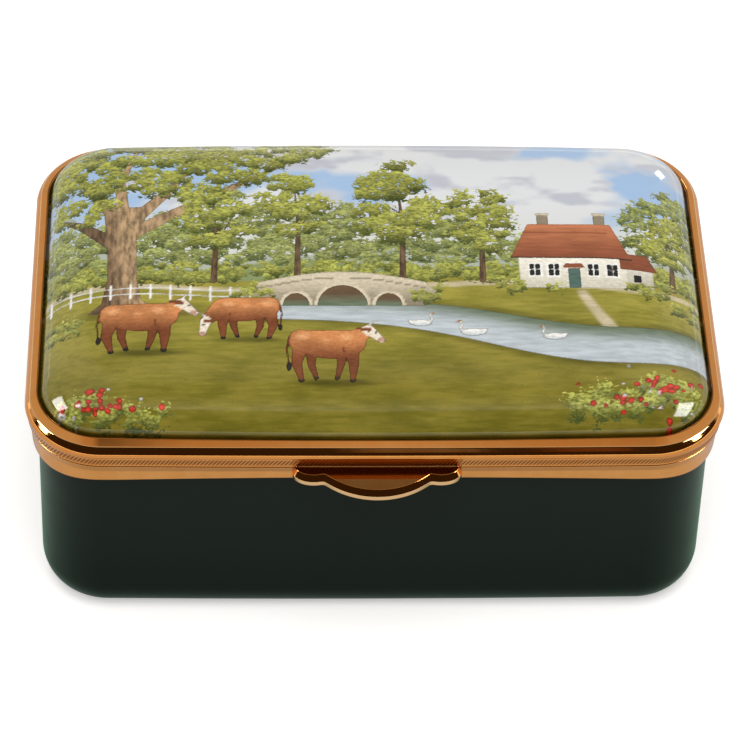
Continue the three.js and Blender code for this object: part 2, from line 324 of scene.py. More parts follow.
def make_pan(outside, inside):
    """The enamelled pan, with one material outside and one inside."""
    outer = foot_round(FOOT_ROUND_WIDTH, FOOT_ROUND_HEIGHT, PAN_FOOT_INSET, 0)
    inner = foot_round(FOOT_ROUND_WIDTH - PAN_WALL, FOOT_ROUND_HEIGHT - PAN_FLOOR,
                       PAN_FOOT_INSET + PAN_WALL, PAN_FLOOR)
    outer_top = (PAN_INSET, PAN_TOP - PAN_RIM_EASE, MOUNT_BOW)
    inner_top = (PAN_INSET + PAN_WALL, PAN_TOP - PAN_RIM_EASE, MOUNT_BOW)
    rim = [outer_top, (PAN_INSET + PAN_RIM_EASE, PAN_TOP, MOUNT_BOW)]
    inner_rim = [(PAN_INSET + PAN_WALL - PAN_RIM_EASE, PAN_TOP, MOUNT_BOW), inner_top]
    outer_points = ring_points(outer + wall_rows(outer[-1], outer_top) + rim, RING_POSITIONS)
    inner_points = ring_points(inner_rim + wall_rows(inner[-1], inner_top)[::-1] + inner[::-1],
                               RING_POSITIONS)
    points = np.concatenate([
        floor_loops(outer_points[0]), outer_points, inner_points, floor_loops(inner_points[-1])[::-1]])
    rows, columns = points.shape[:2]
    grid = grid_quads(rows, columns, False, True)
    loop = np.arange(columns)
    count = rows * columns
    centres = [(0, 0, 0), (0, 0, PAN_FLOOR)]
    face_sets = [grid, fan(count, loop), fan(count + 1, count - columns + loop)]
    outer_rows = len(FLOOR_SCALES) + len(outer_points)
    lining = (np.arange(len(grid)) // columns >= outer_rows).astype(int)
    indices = np.concatenate([lining, np.zeros(columns, int), np.ones(columns, int)])
    points = np.concatenate([points.reshape(-1, 3), centres])
    make_piece("pan", points, face_sets, [outside, inside], "base", "base_body",
               indices)


COVE_INSET = 0.72 * MM
COVE_SHARE = 0.60
COVE_ROUND = 1.0 * MM
BAND_FOOT_ROUND = 0.25 * MM
BAND_INNER_ROUND = 0.2 * MM
FOOT_DIP = 0.8 * MM
FOOT_DIP_REACH = 40 * MM
END_DIP = 1.0 * MM
END_DIP_START, END_DIP_END = 42 * MM, 52 * MM


def make_base_mount(material):
    """The plain band, with the leg of its channel inside the pan's wall."""
    leg_foot = RIM_HEIGHT - LEG_HEIGHT
    cove = BAND_FOOT + COVE_SHARE * (RIM_HEIGHT - BAND_FOOT)
    rows = rounded([
        (BAND_FOOT_INSET, BAND_FOOT, MOUNT_BOW, BAND_FOOT_ROUND),
        (COVE_INSET, cove, MOUNT_BOW, COVE_ROUND),
        (BAND_TOP_INSET, RIM_HEIGHT, MOUNT_BOW, FINE_ROUND),
        (LEG_INSET, RIM_HEIGHT, MOUNT_BOW, FINE_ROUND),
        (LEG_INSET, leg_foot, MOUNT_BOW, FINE_ROUND),
        (CHANNEL_INNER_INSET, leg_foot, MOUNT_BOW, FINE_ROUND),
        (CHANNEL_INNER_INSET, CHANNEL_TOP, MOUNT_BOW, 0),
        (BAND_FOOT_INSET + BAND_WALL, CHANNEL_TOP, MOUNT_BOW, 0),
        (BAND_FOOT_INSET + BAND_WALL, BAND_FOOT, MOUNT_BOW, BAND_INNER_ROUND),
    ])
    points = ring_points(rows, RING_POSITIONS)
    # The band was pressed over the pan by hand, and its foot dips towards the ends
    foot = np.clip((CHANNEL_TOP - points[..., 2]) / (CHANNEL_TOP - BAND_FOOT), 0, 1)
    outer_leg = (rows[:, 0] < CHANNEL_INNER_INSET - SEAT_GAP)[:, None]
    reach = np.abs(points[..., 0])
    dip = FOOT_DIP * np.clip(reach / FOOT_DIP_REACH, 0, 1) ** 2
    dip = dip + END_DIP * ease(reach, END_DIP_START, END_DIP_END)
    points[..., 2] -= foot * outer_leg * dip
    make_ring("base_band", "base_mount", points, material, "base")


COLLAR_FOOT_ROUND = 0.1 * MM
COLLAR_INNER_ROUND = 0.2 * MM


def make_base_collar(material):
    """The thin strip that the closed lid sits round."""
    inner = COLLAR_INSET + COLLAR_WALL
    rows = rounded([
        (COLLAR_INSET, COLLAR_FOOT, MOUNT_BOW, COLLAR_FOOT_ROUND),
        (COLLAR_INSET, COLLAR_TOP, MOUNT_BOW, SOFT_ROUND),
        (inner, COLLAR_TOP, MOUNT_BOW, COLLAR_INNER_ROUND),
        (inner, COLLAR_FOOT, MOUNT_BOW, COLLAR_FOOT_ROUND),
    ])
    make_ring("collar_ring", "base_collar", ring_points(rows, RING_POSITIONS), material, "base")


# Lid pieces
THUMB_WIDTH = 25.9 * MM
GROOVE_PITCH = 0.61 * MM
GROOVE_DEPTH = 0.08 * MM
GROOVE_LEAN = 0.68
GROOVE_PROFILE = np.array([0, 0.6, 1.0, 0.6])
# Heights above the lid's foot and the groove's share of its depth there
GROOVE_HEIGHTS = np.array([0.22, 0.45, 0.75, 1.1, 1.45, 1.75]) * MM
GROOVE_SHARES = np.array([0, 0.8, 1, 1, 0.85, 0])
EDGE_HIGHLIGHT_REACH = 0.11 * MM
# Painted shade in the corner over the thumbpiece, under the bezel's step there and along the seam
PAINTED_SHADE_SHARE = 0.48
STEP_SHADE_SHARE = 0.9
STEP_SHADE_MARGIN = 0.06 * MM
SEAM_SHADE_HEIGHT = 0.1 * MM
MILLED_TOP_ROUND = 0.15 * MM
STEP_ROUND = 0.14 * MM
BULGE_ROUND = 1.6 * MM
FACET_ROUND = 0.5 * MM
LIP_ROUND = 0.2 * MM


def make_lid_mount(material):
    """The bezel, with the diagonal cuts of its milled band, painted shade over the thumbpiece and along
    its seam, and painted highlights on its edges.
    """
    rows = rounded([
        (MILLED_FOOT_INSET, LID_BOTTOM, MOUNT_BOW, FINE_ROUND),
        (MILLED_TOP_INSET, MILLED_TOP, MOUNT_BOW, MILLED_TOP_ROUND),
        (0, STEEP_FOOT, MOUNT_BOW, STEP_ROUND),
        (STEEP_RUN / 2 - STEEP_BULGE, STEEP_FOOT + STEEP_RISE / 2, MOUNT_BOW, BULGE_ROUND),
        (STEEP_RUN, FACET_EDGE, MOUNT_BOW, FACET_ROUND),
        (LIP_INSET, LIP_TOP, PANEL_BOW, LIP_ROUND),
        (LIP_INSET, SHOULDER, PANEL_BOW, 0),
        (MOUNT_INNER_INSET, SHOULDER, MOUNT_BOW, 0),
        (MOUNT_INNER_INSET, LID_BOTTOM, MOUNT_BOW, FINE_ROUND),
    ], steps=2)
    band_end = next(i for i, row in enumerate(rows) if row[1] > LID_BOTTOM + GROOVE_HEIGHTS[-1])
    heights = LID_BOTTOM + GROOVE_HEIGHTS
    slope = (MILLED_TOP_INSET - MILLED_FOOT_INSET) / MILLED_HEIGHT
    insets = MILLED_FOOT_INSET + slope * GROOVE_HEIGHTS
    band = np.stack([insets, heights, np.full_like(heights, MOUNT_BOW)], axis=1)
    rows = np.concatenate([rows[:band_end], band, rows[band_end:]])

    grooves = round(PERIMETER / GROOVE_PITCH)
    columns = grooves * len(GROOVE_PROFILE)
    inset, height, bow = (column[:, None] for column in rows.T)
    lean = GROOVE_LEAN * np.clip(height - LID_BOTTOM, 0, MILLED_HEIGHT)
    positions = PERIMETER * np.arange(columns)[None, :] / columns + lean
    on_band = np.interp(height - LID_BOTTOM, GROOVE_HEIGHTS, GROOVE_SHARES, 0, 0)
    on_band = on_band * (inset < MOUNT_INNER_INSET - SEAT_GAP)
    groove = on_band * np.tile(GROOVE_PROFILE, grooves)[None, :]
    x, y = plan(positions, inset + GROOVE_DEPTH * groove, bow)
    points = np.stack([x, y, np.broadcast_to(height, x.shape)], axis=-1)
    bezel = make_ring("bezel", "lid_mount", points, material, "lid")
    # Painted shade over the thumbpiece, under the bezel's step there and along the seam
    over_thumb = (np.abs(x) < THUMB_WIDTH / 2) * (y < 0)
    under_step = (height > MILLED_TOP) * (height < STEEP_FOOT - STEP_SHADE_MARGIN)
    painted_shade = over_thumb * np.where(under_step, STEP_SHADE_SHARE, PAINTED_SHADE_SHARE * (height <= MILLED_TOP))
    painted_shade = np.maximum(painted_shade, PAINTED_SHADE_SHARE * (height < LID_BOTTOM + SEAM_SHADE_HEIGHT))
    set_floats(bezel, "groove", np.maximum(groove, painted_shade))
    # Painted highlights along the facet edge and the lip
    painted_highlight = np.zeros_like(inset)
    for edge_inset, edge_height in ((STEEP_RUN, FACET_EDGE), (LIP_INSET, LIP_TOP)):
        away = np.hypot(inset - edge_inset, height - edge_height)
        painted_highlight = np.maximum(painted_highlight, np.exp(-(away / EDGE_HIGHLIGHT_REACH) ** 2))
    set_floats(bezel, "painted_highlight", np.broadcast_to(painted_highlight, groove.shape))


def make_lid_inner_rim(material):
    """The ring inside the bezel that holds the panel up."""
    inner_inset = COLLAR_INSET - CLOSING_GAP
    rows = rounded([
        (FLANGE_INSET, LID_BOTTOM, MOUNT_BOW, FINE_ROUND),
        (FLANGE_INSET, INNER_RIM_TOP, MOUNT_BOW, FINE_ROUND),
        (inner_inset, INNER_RIM_TOP, MOUNT_BOW, SOFT_ROUND),
        (inner_inset, LID_BOTTOM, MOUNT_BOW, SOFT_ROUND),
    ])
    make_ring("inner_rim_ring", "lid_inner_rim", ring_points(rows, RING_POSITIONS), material, "lid")


# Lid panel. Its height follows outlines that shrink from the rim (t = 0) to the crown (t = 1).
RIM_RADIUS = CORNER_RADIUS - PANEL_INSET
RIM_HALF_X = HALF_WIDTH - PANEL_INSET
RIM_HALF_Y = HALF_DEPTH - PANEL_INSET
RIM_CENTRE_X = RIM_HALF_X - RIM_RADIUS
RIM_CENTRE_Y = RIM_HALF_Y - RIM_RADIUS
PANEL_STEPS_X = (44, 300)
PANEL_STEPS_Y = (30, 140)
# The back half of the dome is a little fuller than the front
BACK_FULLNESS = 0.7
BACK_FULLNESS_REACH = 25 * MM
LEAST_SHARE = 1e-3
CROWN_START = 0.9999
# The underside: its edge, then the outlines and the scales of the crown that its rings follow
FLANGE_EASE = 0.15 * MM
UNDERSIDE_OUTLINES = (0, 0.12, 0.25, 0.4, 0.6, 0.8, 1)
UNDERSIDE_SCALES = (0.6, 0.2, 0.02)


def beyond_outline(x, y, t):
    """How far points lie outside the dome's outline at t; negative inside."""
    inset = PANEL_INSET + DOME_RUN * t ** 2
    radius = RIM_RADIUS * (1 - DOME_RADIUS_LOSS * t)
    half_x, centre_y = HALF_WIDTH - inset, HALF_DEPTH - inset - radius
    sag = PANEL_BOW * (1 - DOME_BOW_LOSS * t) * (x / half_x) ** 2
    on_side = y / (1 - sag / centre_y)
    straight_y = np.where(on_side < centre_y, on_side, y + sag)
    out_x, out_y = x - (half_x - radius), straight_y - centre_y
    past_corner = np.hypot(np.maximum(out_x, 0), np.maximum(out_y, 0))
    return past_corner + np.minimum(np.maximum(out_x, out_y), 0) - radius


def halve(is_outside, low, high, rounds=28):
    """The value between low and high where is_outside turns true."""
    for _ in range(rounds):
        middle = (low + high) / 2
        outside = is_outside(middle)
        high = np.where(outside, middle, high)
        low = np.where(outside, low, middle)
    return (low + high) / 2


def dome_height(x, y):
    """Height of the dome over its foot."""
    fullness = DOME_FULLNESS + BACK_FULLNESS * ease(y, 0, BACK_FULLNESS_REACH)
    x, y = np.abs(x), np.abs(y)
    zero, one = np.zeros_like(x), np.ones_like(x)
    t = halve(lambda value: beyond_outline(x, y, value) > 0, zero, one)
    flank = DOME_RISE * np.sqrt(1 - (1 - t ** 2) ** fullness)
    least = zero + LEAST_SHARE
    share = halve(lambda value: beyond_outline(x / value, y / value, 1) < 0, least, one)
    crown = np.where(t > CROWN_START, CROWN_RISE * (1 - share ** 2) ** 2, 0)
    return flank + crown


def edge_shares(steps, centre, radius):
    """Shares from -1 to 1 of a half size, closest together near the rounded edge."""
    turns, straights = steps
    angles = np.linspace(0, math.pi / 2, turns + 1)[1:]
    outer = (centre + radius * np.sin(angles)) / (centre + radius)
    inner = np.linspace(-1, 1, straights + 1) * centre / (centre + radius)
    return np.concatenate([-outer[::-1], inner, outer])


def panel_grid():
    """X and Y of the panel's top over its rim outline, rows along Y by columns along X."""
    share_x = edge_shares(PANEL_STEPS_X, RIM_CENTRE_X, RIM_RADIUS)
    straight_y = edge_shares(PANEL_STEPS_Y, RIM_CENTRE_Y, RIM_RADIUS) * RIM_HALF_Y
    past_corner = np.clip(np.abs(straight_y) - RIM_CENTRE_Y, 0, RIM_RADIUS)
    half_x = RIM_CENTRE_X + np.sqrt(np.maximum(RIM_RADIUS ** 2 - past_corner ** 2, 0))
    x = half_x[:, None] * share_x[None, :]
    sag = PANEL_BOW * (x / RIM_HALF_X) ** 2
    share_y = np.minimum(np.abs(straight_y) / RIM_CENTRE_Y, 1)[:, None]
    return x, straight_y[:, None] - np.sign(straight_y)[:, None] * sag * share_y


def make_lid_panel(painting, lining):
    """The domed panel and its points: the painting's material on top, the lining's below."""
    x, y = panel_grid()
    rows, columns = x.shape
    top = np.stack([x, y, DOME_FOOT + dome_height(x, y)], axis=-1)
    number = np.arange(rows * columns).reshape(rows, columns)
    rim = np.concatenate([number[0, :-1], number[:-1, -1], number[-1, :0:-1], number[:0:-1, 0]])
    rim_points = top.reshape(-1, 3)[rim]
    top[0, :, 2] = top[-1, :, 2] = DOME_FOOT
    top[:, 0, 2] = top[:, -1, 2] = DOME_FOOT

    # Each rim point as a share of the corner centre and an arm, so that the rings below follow it
    sag = PANEL_BOW * (rim_points[:, 0] / RIM_HALF_X) ** 2
    flat_y = np.abs(rim_points[:, 1])
    on_side = flat_y / (1 - sag / RIM_CENTRE_Y)
    flat_y = np.sign(rim_points[:, 1]) * np.where(on_side < RIM_CENTRE_Y, on_side, flat_y + sag)
    corner_x = np.clip(rim_points[:, 0] / RIM_CENTRE_X, -1, 1)
    corner_y = np.clip(flat_y / RIM_CENTRE_Y, -1, 1)
    arm_x = (rim_points[:, 0] - corner_x * RIM_CENTRE_X) / RIM_RADIUS
    arm_y = (flat_y - corner_y * RIM_CENTRE_Y) / RIM_RADIUS

    def ring(inset, height, bow, radius=None):
        ring_x, ring_y = place_on_plan(corner_x, corner_y, arm_x, arm_y, inset, bow, radius)
        return np.stack([ring_x, ring_y, np.full_like(ring_x, height)], axis=-1)

    inner_inset = PANEL_INSET + PANEL_WALL
    inner_radius = CORNER_RADIUS - inner_inset
    inner_top = DOME_FOOT + DOME_RISE - PANEL_WALL
    rings = [
        ring(PANEL_INSET, DOME_FOOT - PANEL_SKIRT / 2, PANEL_BOW),
        ring(PANEL_INSET, FLANGE_TOP, PANEL_BOW),
        ring(FLANGE_INSET, FLANGE_TOP, MOUNT_BOW),
        ring(FLANGE_INSET, FLANGE_FOOT, MOUNT_BOW),
        ring(inner_inset - FLANGE_EASE, FLANGE_FOOT, PANEL_BOW),
        ring(inner_inset, FLANGE_FOOT + FLANGE_EASE, PANEL_BOW),
    ]
    for t in UNDERSIDE_OUTLINES:
        inset = inner_inset + (DOME_RUN - PANEL_WALL) * t ** 2
        rise = (DOME_RISE - PANEL_WALL) * math.sqrt(1 - (1 - t ** 2) ** DOME_FULLNESS)
        rings.append(ring(inset, DOME_FOOT + rise, PANEL_BOW * (1 - DOME_BOW_LOSS * t),
                          inner_radius * (1 - DOME_RADIUS_LOSS * t)))
    for scale in UNDERSIDE_SCALES:
        lift = CROWN_RISE * (1 - scale ** 2) ** 2
        crown = ring(inner_inset + DOME_RUN - PANEL_WALL, inner_top + lift,
                     PANEL_BOW * (1 - DOME_BOW_LOSS), inner_radius * (1 - DOME_RADIUS_LOSS))
        rings.append(crown * (scale, scale, 1))
    count, around = rows * columns, len(rim)
    points = np.concatenate([top.reshape(-1, 3), *rings, [(0, 0, inner_top + CROWN_RISE)]])
    ring_quads = grid_quads(len(rings), around, False, True) + count
    first = count + np.arange(around)
    join = np.stack([rim, np.roll(rim, -1), np.roll(first, -1), first], -1)
    last = count + (len(rings) - 1) * around + np.arange(around)
    face_sets = [grid_quads(rows, columns, False, False), join, ring_quads,
                 fan(len(points) - 1, last)]
    painted = len(face_sets[0]) + around * 3
    total = sum(len(faces) for faces in face_sets)
    indices = (np.arange(total) >= painted).astype(int)
    piece = make_piece("painted_dome", points, face_sets, [painting, lining], "lid", "lid_panel",
                       indices)
    return piece, points


# Thumbpiece: a wide arc between two elliptic lobes, softly hollow where they meet
THUMB_REACH = 5.2 * MM
THUMB_LOBE = 2.15 * MM
THUMB_LOBE_WIDTH = 3.2 * MM
THUMB_HOLLOW = 0.35 * MM
THUMB_ARC = 11.8 * MM
THUMB_LOW, THUMB_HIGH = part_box("thumbpiece")
THUMB_CHAMFER_RUN = 0.6 * MM
THUMB_CHAMFER_DROP = 1.05 * MM
THUMB_CAP_INSET = THUMB_CHAMFER_RUN + 0.2 * MM
THUMB_FOOT_ROUND = 0.2 * MM
THUMB_TOP_ROUND = 0.1 * MM
THUMB_HIGHLIGHT_MARGIN = 0.1 * MM
THUMB_SEAT = 0.35 * MM
THUMB_LOBE_STEPS, THUMB_ARC_STEPS = 24, 80


def thumb_outline(inset):
    """X and Y of the thumbpiece's outline, drawn in but for the back edge inside the band."""
    lobe_x = THUMB_WIDTH / 2 - THUMB_LOBE_WIDTH
    half_width = THUMB_LOBE_WIDTH - inset
    turns = np.linspace(0, math.pi / 2, THUMB_LOBE_STEPS)
    x = np.concatenate([lobe_x + half_width * np.cos(turns),
                        np.linspace(lobe_x, 0, THUMB_ARC_STEPS)[1:]])
    lobe = (THUMB_LOBE - inset) * np.sqrt(np.clip(1 - ((x - lobe_x) / half_width) ** 2, 0, 1))
    arc = THUMB_REACH - THUMB_ARC + np.sqrt(np.clip((THUMB_ARC - inset) ** 2 - x ** 2, 0, None))
    y = (lobe + arc + np.hypot(lobe - arc, THUMB_HOLLOW)) / 2
    y[0] = 0
    right = np.concatenate([[(THUMB_WIDTH / 2 - inset, -THUMB_SEAT)], np.column_stack([x, y])])
    left = right[-2::-1] * (-1, 1)
    return np.concatenate([right, left])


def make_thumbpiece(material):
    """The plate, with a painted highlight on the rim under its wide chamfer."""
    top, foot = THUMB_HIGH.z, THUMB_LOW.z
    rim_top = top - THUMB_CHAMFER_DROP
    rows = rounded([
        (THUMB_CAP_INSET, foot, 0, 0),
        (0, foot, 0, THUMB_FOOT_ROUND),
        (0, rim_top, 0, SOFT_ROUND),
        (THUMB_CHAMFER_RUN, top, 0, THUMB_TOP_ROUND),
        (THUMB_CAP_INSET, top, 0, 0),
    ])
    loops = []
    for inset, height, _ in rows:
        outline = thumb_outline(inset)
        loops.append(np.column_stack([outline[:, 0], THUMB_HIGH.y - outline[:, 1],
                                      np.full(len(outline), height)]))
    points = np.stack(loops)
    count, around = points.shape[:2]
    loop = np.arange(around)
    faces = [grid_quads(count, around, False, True), loop[None, :],
             (count - 1) * around + loop[None, :]]
    tab = make_piece("thumb_tab", points, faces, [material], "lid", "thumbpiece")
    for flat_face in tab.data.polygons[-2:]:
        flat_face.use_smooth = False
    # Painted highlight along the rim under the chamfer
    on_rim = (rows[:, 1] < rim_top + THUMB_HIGHLIGHT_MARGIN).astype(float)
    set_floats(tab, "painted_highlight", np.repeat(on_rim, around))


SOLDER_RADIUS = 0.13 * MM
# How abruptly the bead narrows near its ends, and the square of its least width there
SOLDER_TAPER = 40
SOLDER_END = 0.04


def make_solder_line(material, steps=24, around=12):
    """The thin bead of solder where the top of the thumbpiece meets the milled band."""
    half_length = THUMB_WIDTH / 2 - THUMB_CHAMFER_RUN
    x = half_length * np.sin(np.linspace(-math.pi / 2, math.pi / 2, steps + 1))
    inset = np.interp(THUMB_HIGH.z, [LID_BOTTOM, MILLED_TOP], [MILLED_FOOT_INSET, MILLED_TOP_INSET])
    y = -(HALF_DEPTH - inset) + MOUNT_BOW * (x / HALF_WIDTH) ** 2
    angles = np.linspace(0, 2 * math.pi, around, endpoint=False)
    taper = np.sqrt(np.clip(1 - (x / half_length) ** SOLDER_TAPER, SOLDER_END, 1))
    radius = taper[:, None] * SOLDER_RADIUS
    points = np.stack([np.broadcast_to(x[:, None], (len(x), around)),
                       y[:, None] + radius * np.cos(angles),
                       THUMB_HIGH.z + radius * np.sin(angles)], -1)
    loop = np.arange(around)
    faces = [grid_quads(len(x), around, False, True), loop[None, :],
             len(x) * around - 1 - loop[None, :]]
    bead = make_piece("thumb_solder", points, faces, [material], "lid", "thumbpiece")
    # The whole bead is painted pale, a painted highlight along the joint
    set_floats(bead, "painted_highlight", np.ones(points.shape[:2]))


# Hinge
PIN_LOW, PIN_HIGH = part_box("hinge_pin")
AXIS_Y = (PIN_LOW.y + PIN_HIGH.y) / 2
AXIS_Z = (PIN_LOW.z + PIN_HIGH.z) / 2
ROOT_EXTRA = 0.5 * MM
KNUCKLE_CHAMFER = 0.12 * MM
KNUCKLE_STEPS = 44


def round_axis(x, loop):
    """Points at an X whose Y and Z are given from the hinge's axis."""
    return np.column_stack([np.full(len(loop), x), AXIS_Y + loop[:, 0], AXIS_Z + loop[:, 1]])


def knuckle_outline(radius, reach):
    """Y and Z round the axis: a circle with a square root towards the mounts, above the axis."""
    near = radius - KNUCKLE_ROOT_HEIGHT
    angles = np.linspace(math.pi - math.asin(near / radius), 2.5 * math.pi, KNUCKLE_STEPS)
    root = np.array([(-reach, radius), (-reach, near)])
    return np.concatenate([radius * np.stack([np.cos(angles), np.sin(angles)], -1), root])


def make_knuckle(name, side, material, body):
    """A knuckle with its root above (side 1) or below (side -1) the axis."""
    low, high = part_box(name)
    outline = knuckle_outline(high.y - AXIS_Y, AXIS_Y - low.y + ROOT_EXTRA) * (1, side)
    length = np.linalg.norm(outline, axis=1, keepdims=True)
    eased = outline * (1 - KNUCKLE_CHAMFER / length)
    bore = outline / length * BORE_RADIUS
    wide_bore = bore * (1 + KNUCKLE_CHAMFER / 2 / BORE_RADIUS)
    half = [(bore, KNUCKLE_CHAMFER / 2), (wide_bore, 0), (eased, 0), (outline, KNUCKLE_CHAMFER),
            (outline, 2 * KNUCKLE_CHAMFER)]
    loops = [round_axis(low.x + depth, loop) for loop, depth in half]
    loops += [round_axis(high.x - depth, loop) for loop, depth in half[::-1]]
    faces = grid_quads(len(loops), len(outline), True, True)
    make_piece(f"{name}_barrel", np.stack(loops), [faces], [material], body, name)


# The pin's peened ends: the depth of their domes as a share of the radius
PIN_DOME_DEPTH = 0.4
PIN_DOME_START = 0.15
PIN_DOME_STEPS = 6


def make_hinge_pin(material, around=32):
    """The pin, with two low domes for ends."""
    radius = (PIN_HIGH.z - PIN_LOW.z) / 2
    turns = np.linspace(PIN_DOME_START, math.pi / 2, PIN_DOME_STEPS)
    dome = [(math.sin(a), PIN_DOME_DEPTH * (1 - math.cos(a))) for a in turns]
    left = [(PIN_LOW.x + depth * radius, share * radius) for share, depth in dome]
    right = [(PIN_HIGH.x - depth * radius, share * radius) for share, depth in dome[::-1]]
    angles = np.linspace(0, 2 * math.pi, around, endpoint=False)
    circle = np.column_stack([np.cos(angles), np.sin(angles)])
    loops = [round_axis(x, reach * circle) for x, reach in left + right]
    ends = [(PIN_LOW.x, AXIS_Y, AXIS_Z), (PIN_HIGH.x, AXIS_Y, AXIS_Z)]
    loop = np.arange(around)
    count = len(loops) * around
    faces = [grid_quads(len(loops), around, False, True), fan(count, loop),
             fan(count + 1, count - around + loop)]
    points = np.concatenate([*loops, ends])
    make_piece("pin", points, faces, [material], "base", "hinge_pin")


# Materials. Sizes and depths in their nodes are in millimetres.
class Shader:
    """Nodes built step by step for a new material, or for the owner that is given."""

    def __init__(self, name, owner=None):
        self.owner = owner or bpy.data.materials.new(name)
        self.owner.use_nodes = True
        self.tree = self.owner.node_tree
        self.tree.nodes.clear()

    def add(self, kind, inputs=None, **settings):
        node = self.tree.nodes.new("ShaderNode" + kind)
        for key, value in settings.items():
            setattr(node, key, value)
        for key, value in (inputs or {}).items():
            if isinstance(value, bpy.types.NodeSocket):
                self.tree.links.new(value, node.inputs[key])
            else:
                node.inputs[key].default_value = value
        return node

    def attribute(self, name, output="Fac"):
        return self.add("Attribute", attribute_name=name).outputs[output]

    def place(self, scale=(1, 1, 1)):
        """Object coordinates in millimetres, scaled."""
        coordinates = self.add("TexCoord").outputs["Object"]
        inputs = {"Vector": coordinates, "Scale": tuple(s / MM for s in scale)}
        return self.add("Mapping", inputs).outputs["Vector"]

    def along(self, axis):
        """One of the object coordinates, in metres."""
        coordinates = self.add("TexCoord").outputs["Object"]
        return self.add("SeparateXYZ", {"Vector": coordinates}).outputs[axis]

    def noise(self, size, scale=(1, 1, 1), detail=3.0, roughness=0.5):
        """Noise from 0 to 1 with features of about the given size."""
        inputs = {"Vector": self.place(scale), "Scale": 1 / size, "Detail": detail,
                  "Roughness": roughness}
        return self.add("TexNoise", inputs).outputs["Fac"]

    def specks(self, spacing, low, high, strength):
        """Scattered soft dots; low and high are where a dot starts and stops to fade."""
        inputs = {"Vector": self.place(), "Scale": 1 / spacing}
        distance = self.add("TexVoronoi", inputs).outputs["Distance"]
        return self.remap(distance, low, high, strength, 0, smooth=True)

    def remap(self, value, low, high, to_low=0.0, to_high=1.0, smooth=False):
        inputs = {"Value": value, "From Min": low, "From Max": high,
                  "To Min": to_low, "To Max": to_high}
        kind = "SMOOTHSTEP" if smooth else "LINEAR"
        return self.add("MapRange", inputs, interpolation_type=kind).outputs["Result"]

    def mix(self, share, first, second, mode="MIX"):
        inputs = {0: share, 6: first, 7: second}
        return self.add("Mix", inputs, data_type="RGBA", blend_type=mode).outputs[2]

    def multiply(self, first, second):
        """The product of two colours."""
        return self.mix(1.0, first, second, "MULTIPLY")

    def math(self, operation, *values):
        return self.add("Math", dict(enumerate(values)), operation=operation).outputs[0]

    def average(self, first, second, share=0.5):
        """The mean of two numbers, with the second's share."""
        return self.math("ADD", self.math("MULTIPLY", first, 1 - share),
                         self.math("MULTIPLY", second, share))

    def bump(self, height, depth, normal=None):
        """A normal from a height whose full range is depth."""
        inputs = {"Height": height, "Distance": depth * MM, "Strength": 1.0}
        if normal is not None:
            inputs["Normal"] = normal
        return self.add("Bump", inputs).outputs["Normal"]

    def finish(self, surface, output="OutputMaterial"):
        self.add(output, {"Surface": surface})
        return self.owner

    def principled(self, colour, roughness, normal, others=None):
        inputs = {"Base Color": colour, "Roughness": roughness, "Normal": normal, **(others or {})}
        return self.finish(self.add("BsdfPrincipled", inputs).outputs[0])


def rgba(red, green, blue):
    return (red, green, blue, 1.0)


def grey(level):
    return rgba(level, level, level)


METAL = {"Metallic": 1.0}
# Dirt and painted shade in the grooves; the same colour paints shade over the thumbpiece and along the
# seam
GROOVE_DIRT_AND_SHADE = 0.92
GROOVE_COLOUR = rgba(0.11, 0.036, 0.009)
GROOVE_ROUGHNESS = 0.15
# Painted highlights on edges: how much of the pale colour they take, and that colour
HIGHLIGHT_SHARE = 0.8
HIGHLIGHT_COLOUR = rgba(0.92, 0.62, 0.32)
GILT_MOTTLE = 3.0
GILT_RIPPLE = 2.2
GILT_RIPPLE_DEPTH = 0.004
STREAK_SCALE = (0.06, 0.06, 6.0)
STREAK_DEPTH = 0.0015
# Each gilt: its pale and deep tones, roughness and strength of the polishing streaks
POLISHED_GILT = (rgba(0.85, 0.37, 0.10), rgba(0.82, 0.32, 0.075), 0.06, 0.15)
SATIN_GILT = (rgba(0.86, 0.40, 0.12), rgba(0.78, 0.34, 0.085), 0.18, 0.6)


def make_gilt(name, pale, deep, roughness, streak):
    """Rose gold plate with polishing streaks, a soft mottle, dirt and painted shade in grooves and painted
    highlights on edges.
    """
    shader = Shader(name)
    mottle = shader.noise(GILT_MOTTLE, detail=4, roughness=0.6)
    streaks = shader.noise(1.0, STREAK_SCALE)
    tone = shader.remap(shader.math("ADD", mottle, shader.math("MULTIPLY", streaks, streak)),
                        0.35 + streak * 0.35, 0.65 + streak * 0.65)
    colour = shader.mix(tone, deep, pale)
    groove = shader.attribute("groove")
    # Dirt and painted shade in the grooves, and painted shade over the thumbpiece and along the seam
    colour = shader.mix(shader.math("MULTIPLY", groove, GROOVE_DIRT_AND_SHADE), colour, GROOVE_COLOUR)
    # Painted highlights on the bezel's edges, the thumbpiece's rim and the solder bead
    painted_highlight = shader.math("MULTIPLY", shader.attribute("painted_highlight"), HIGHLIGHT_SHARE)
    colour = shader.mix(painted_highlight, colour, HIGHLIGHT_COLOUR)
    rough = shader.remap(tone, 0, 1, roughness * 1.35, roughness * 0.8)
    rough = shader.math("MULTIPLY_ADD", groove, GROOVE_ROUGHNESS, rough)
    normal = shader.bump(shader.noise(GILT_RIPPLE, detail=1), GILT_RIPPLE_DEPTH)
    normal = shader.bump(streaks, STREAK_DEPTH * streak, normal)
    return shader.principled(colour, rough, normal, METAL)


BRASS_DARK = rgba(0.52, 0.30, 0.10)
BRASS_PALE = rgba(0.80, 0.52, 0.22)


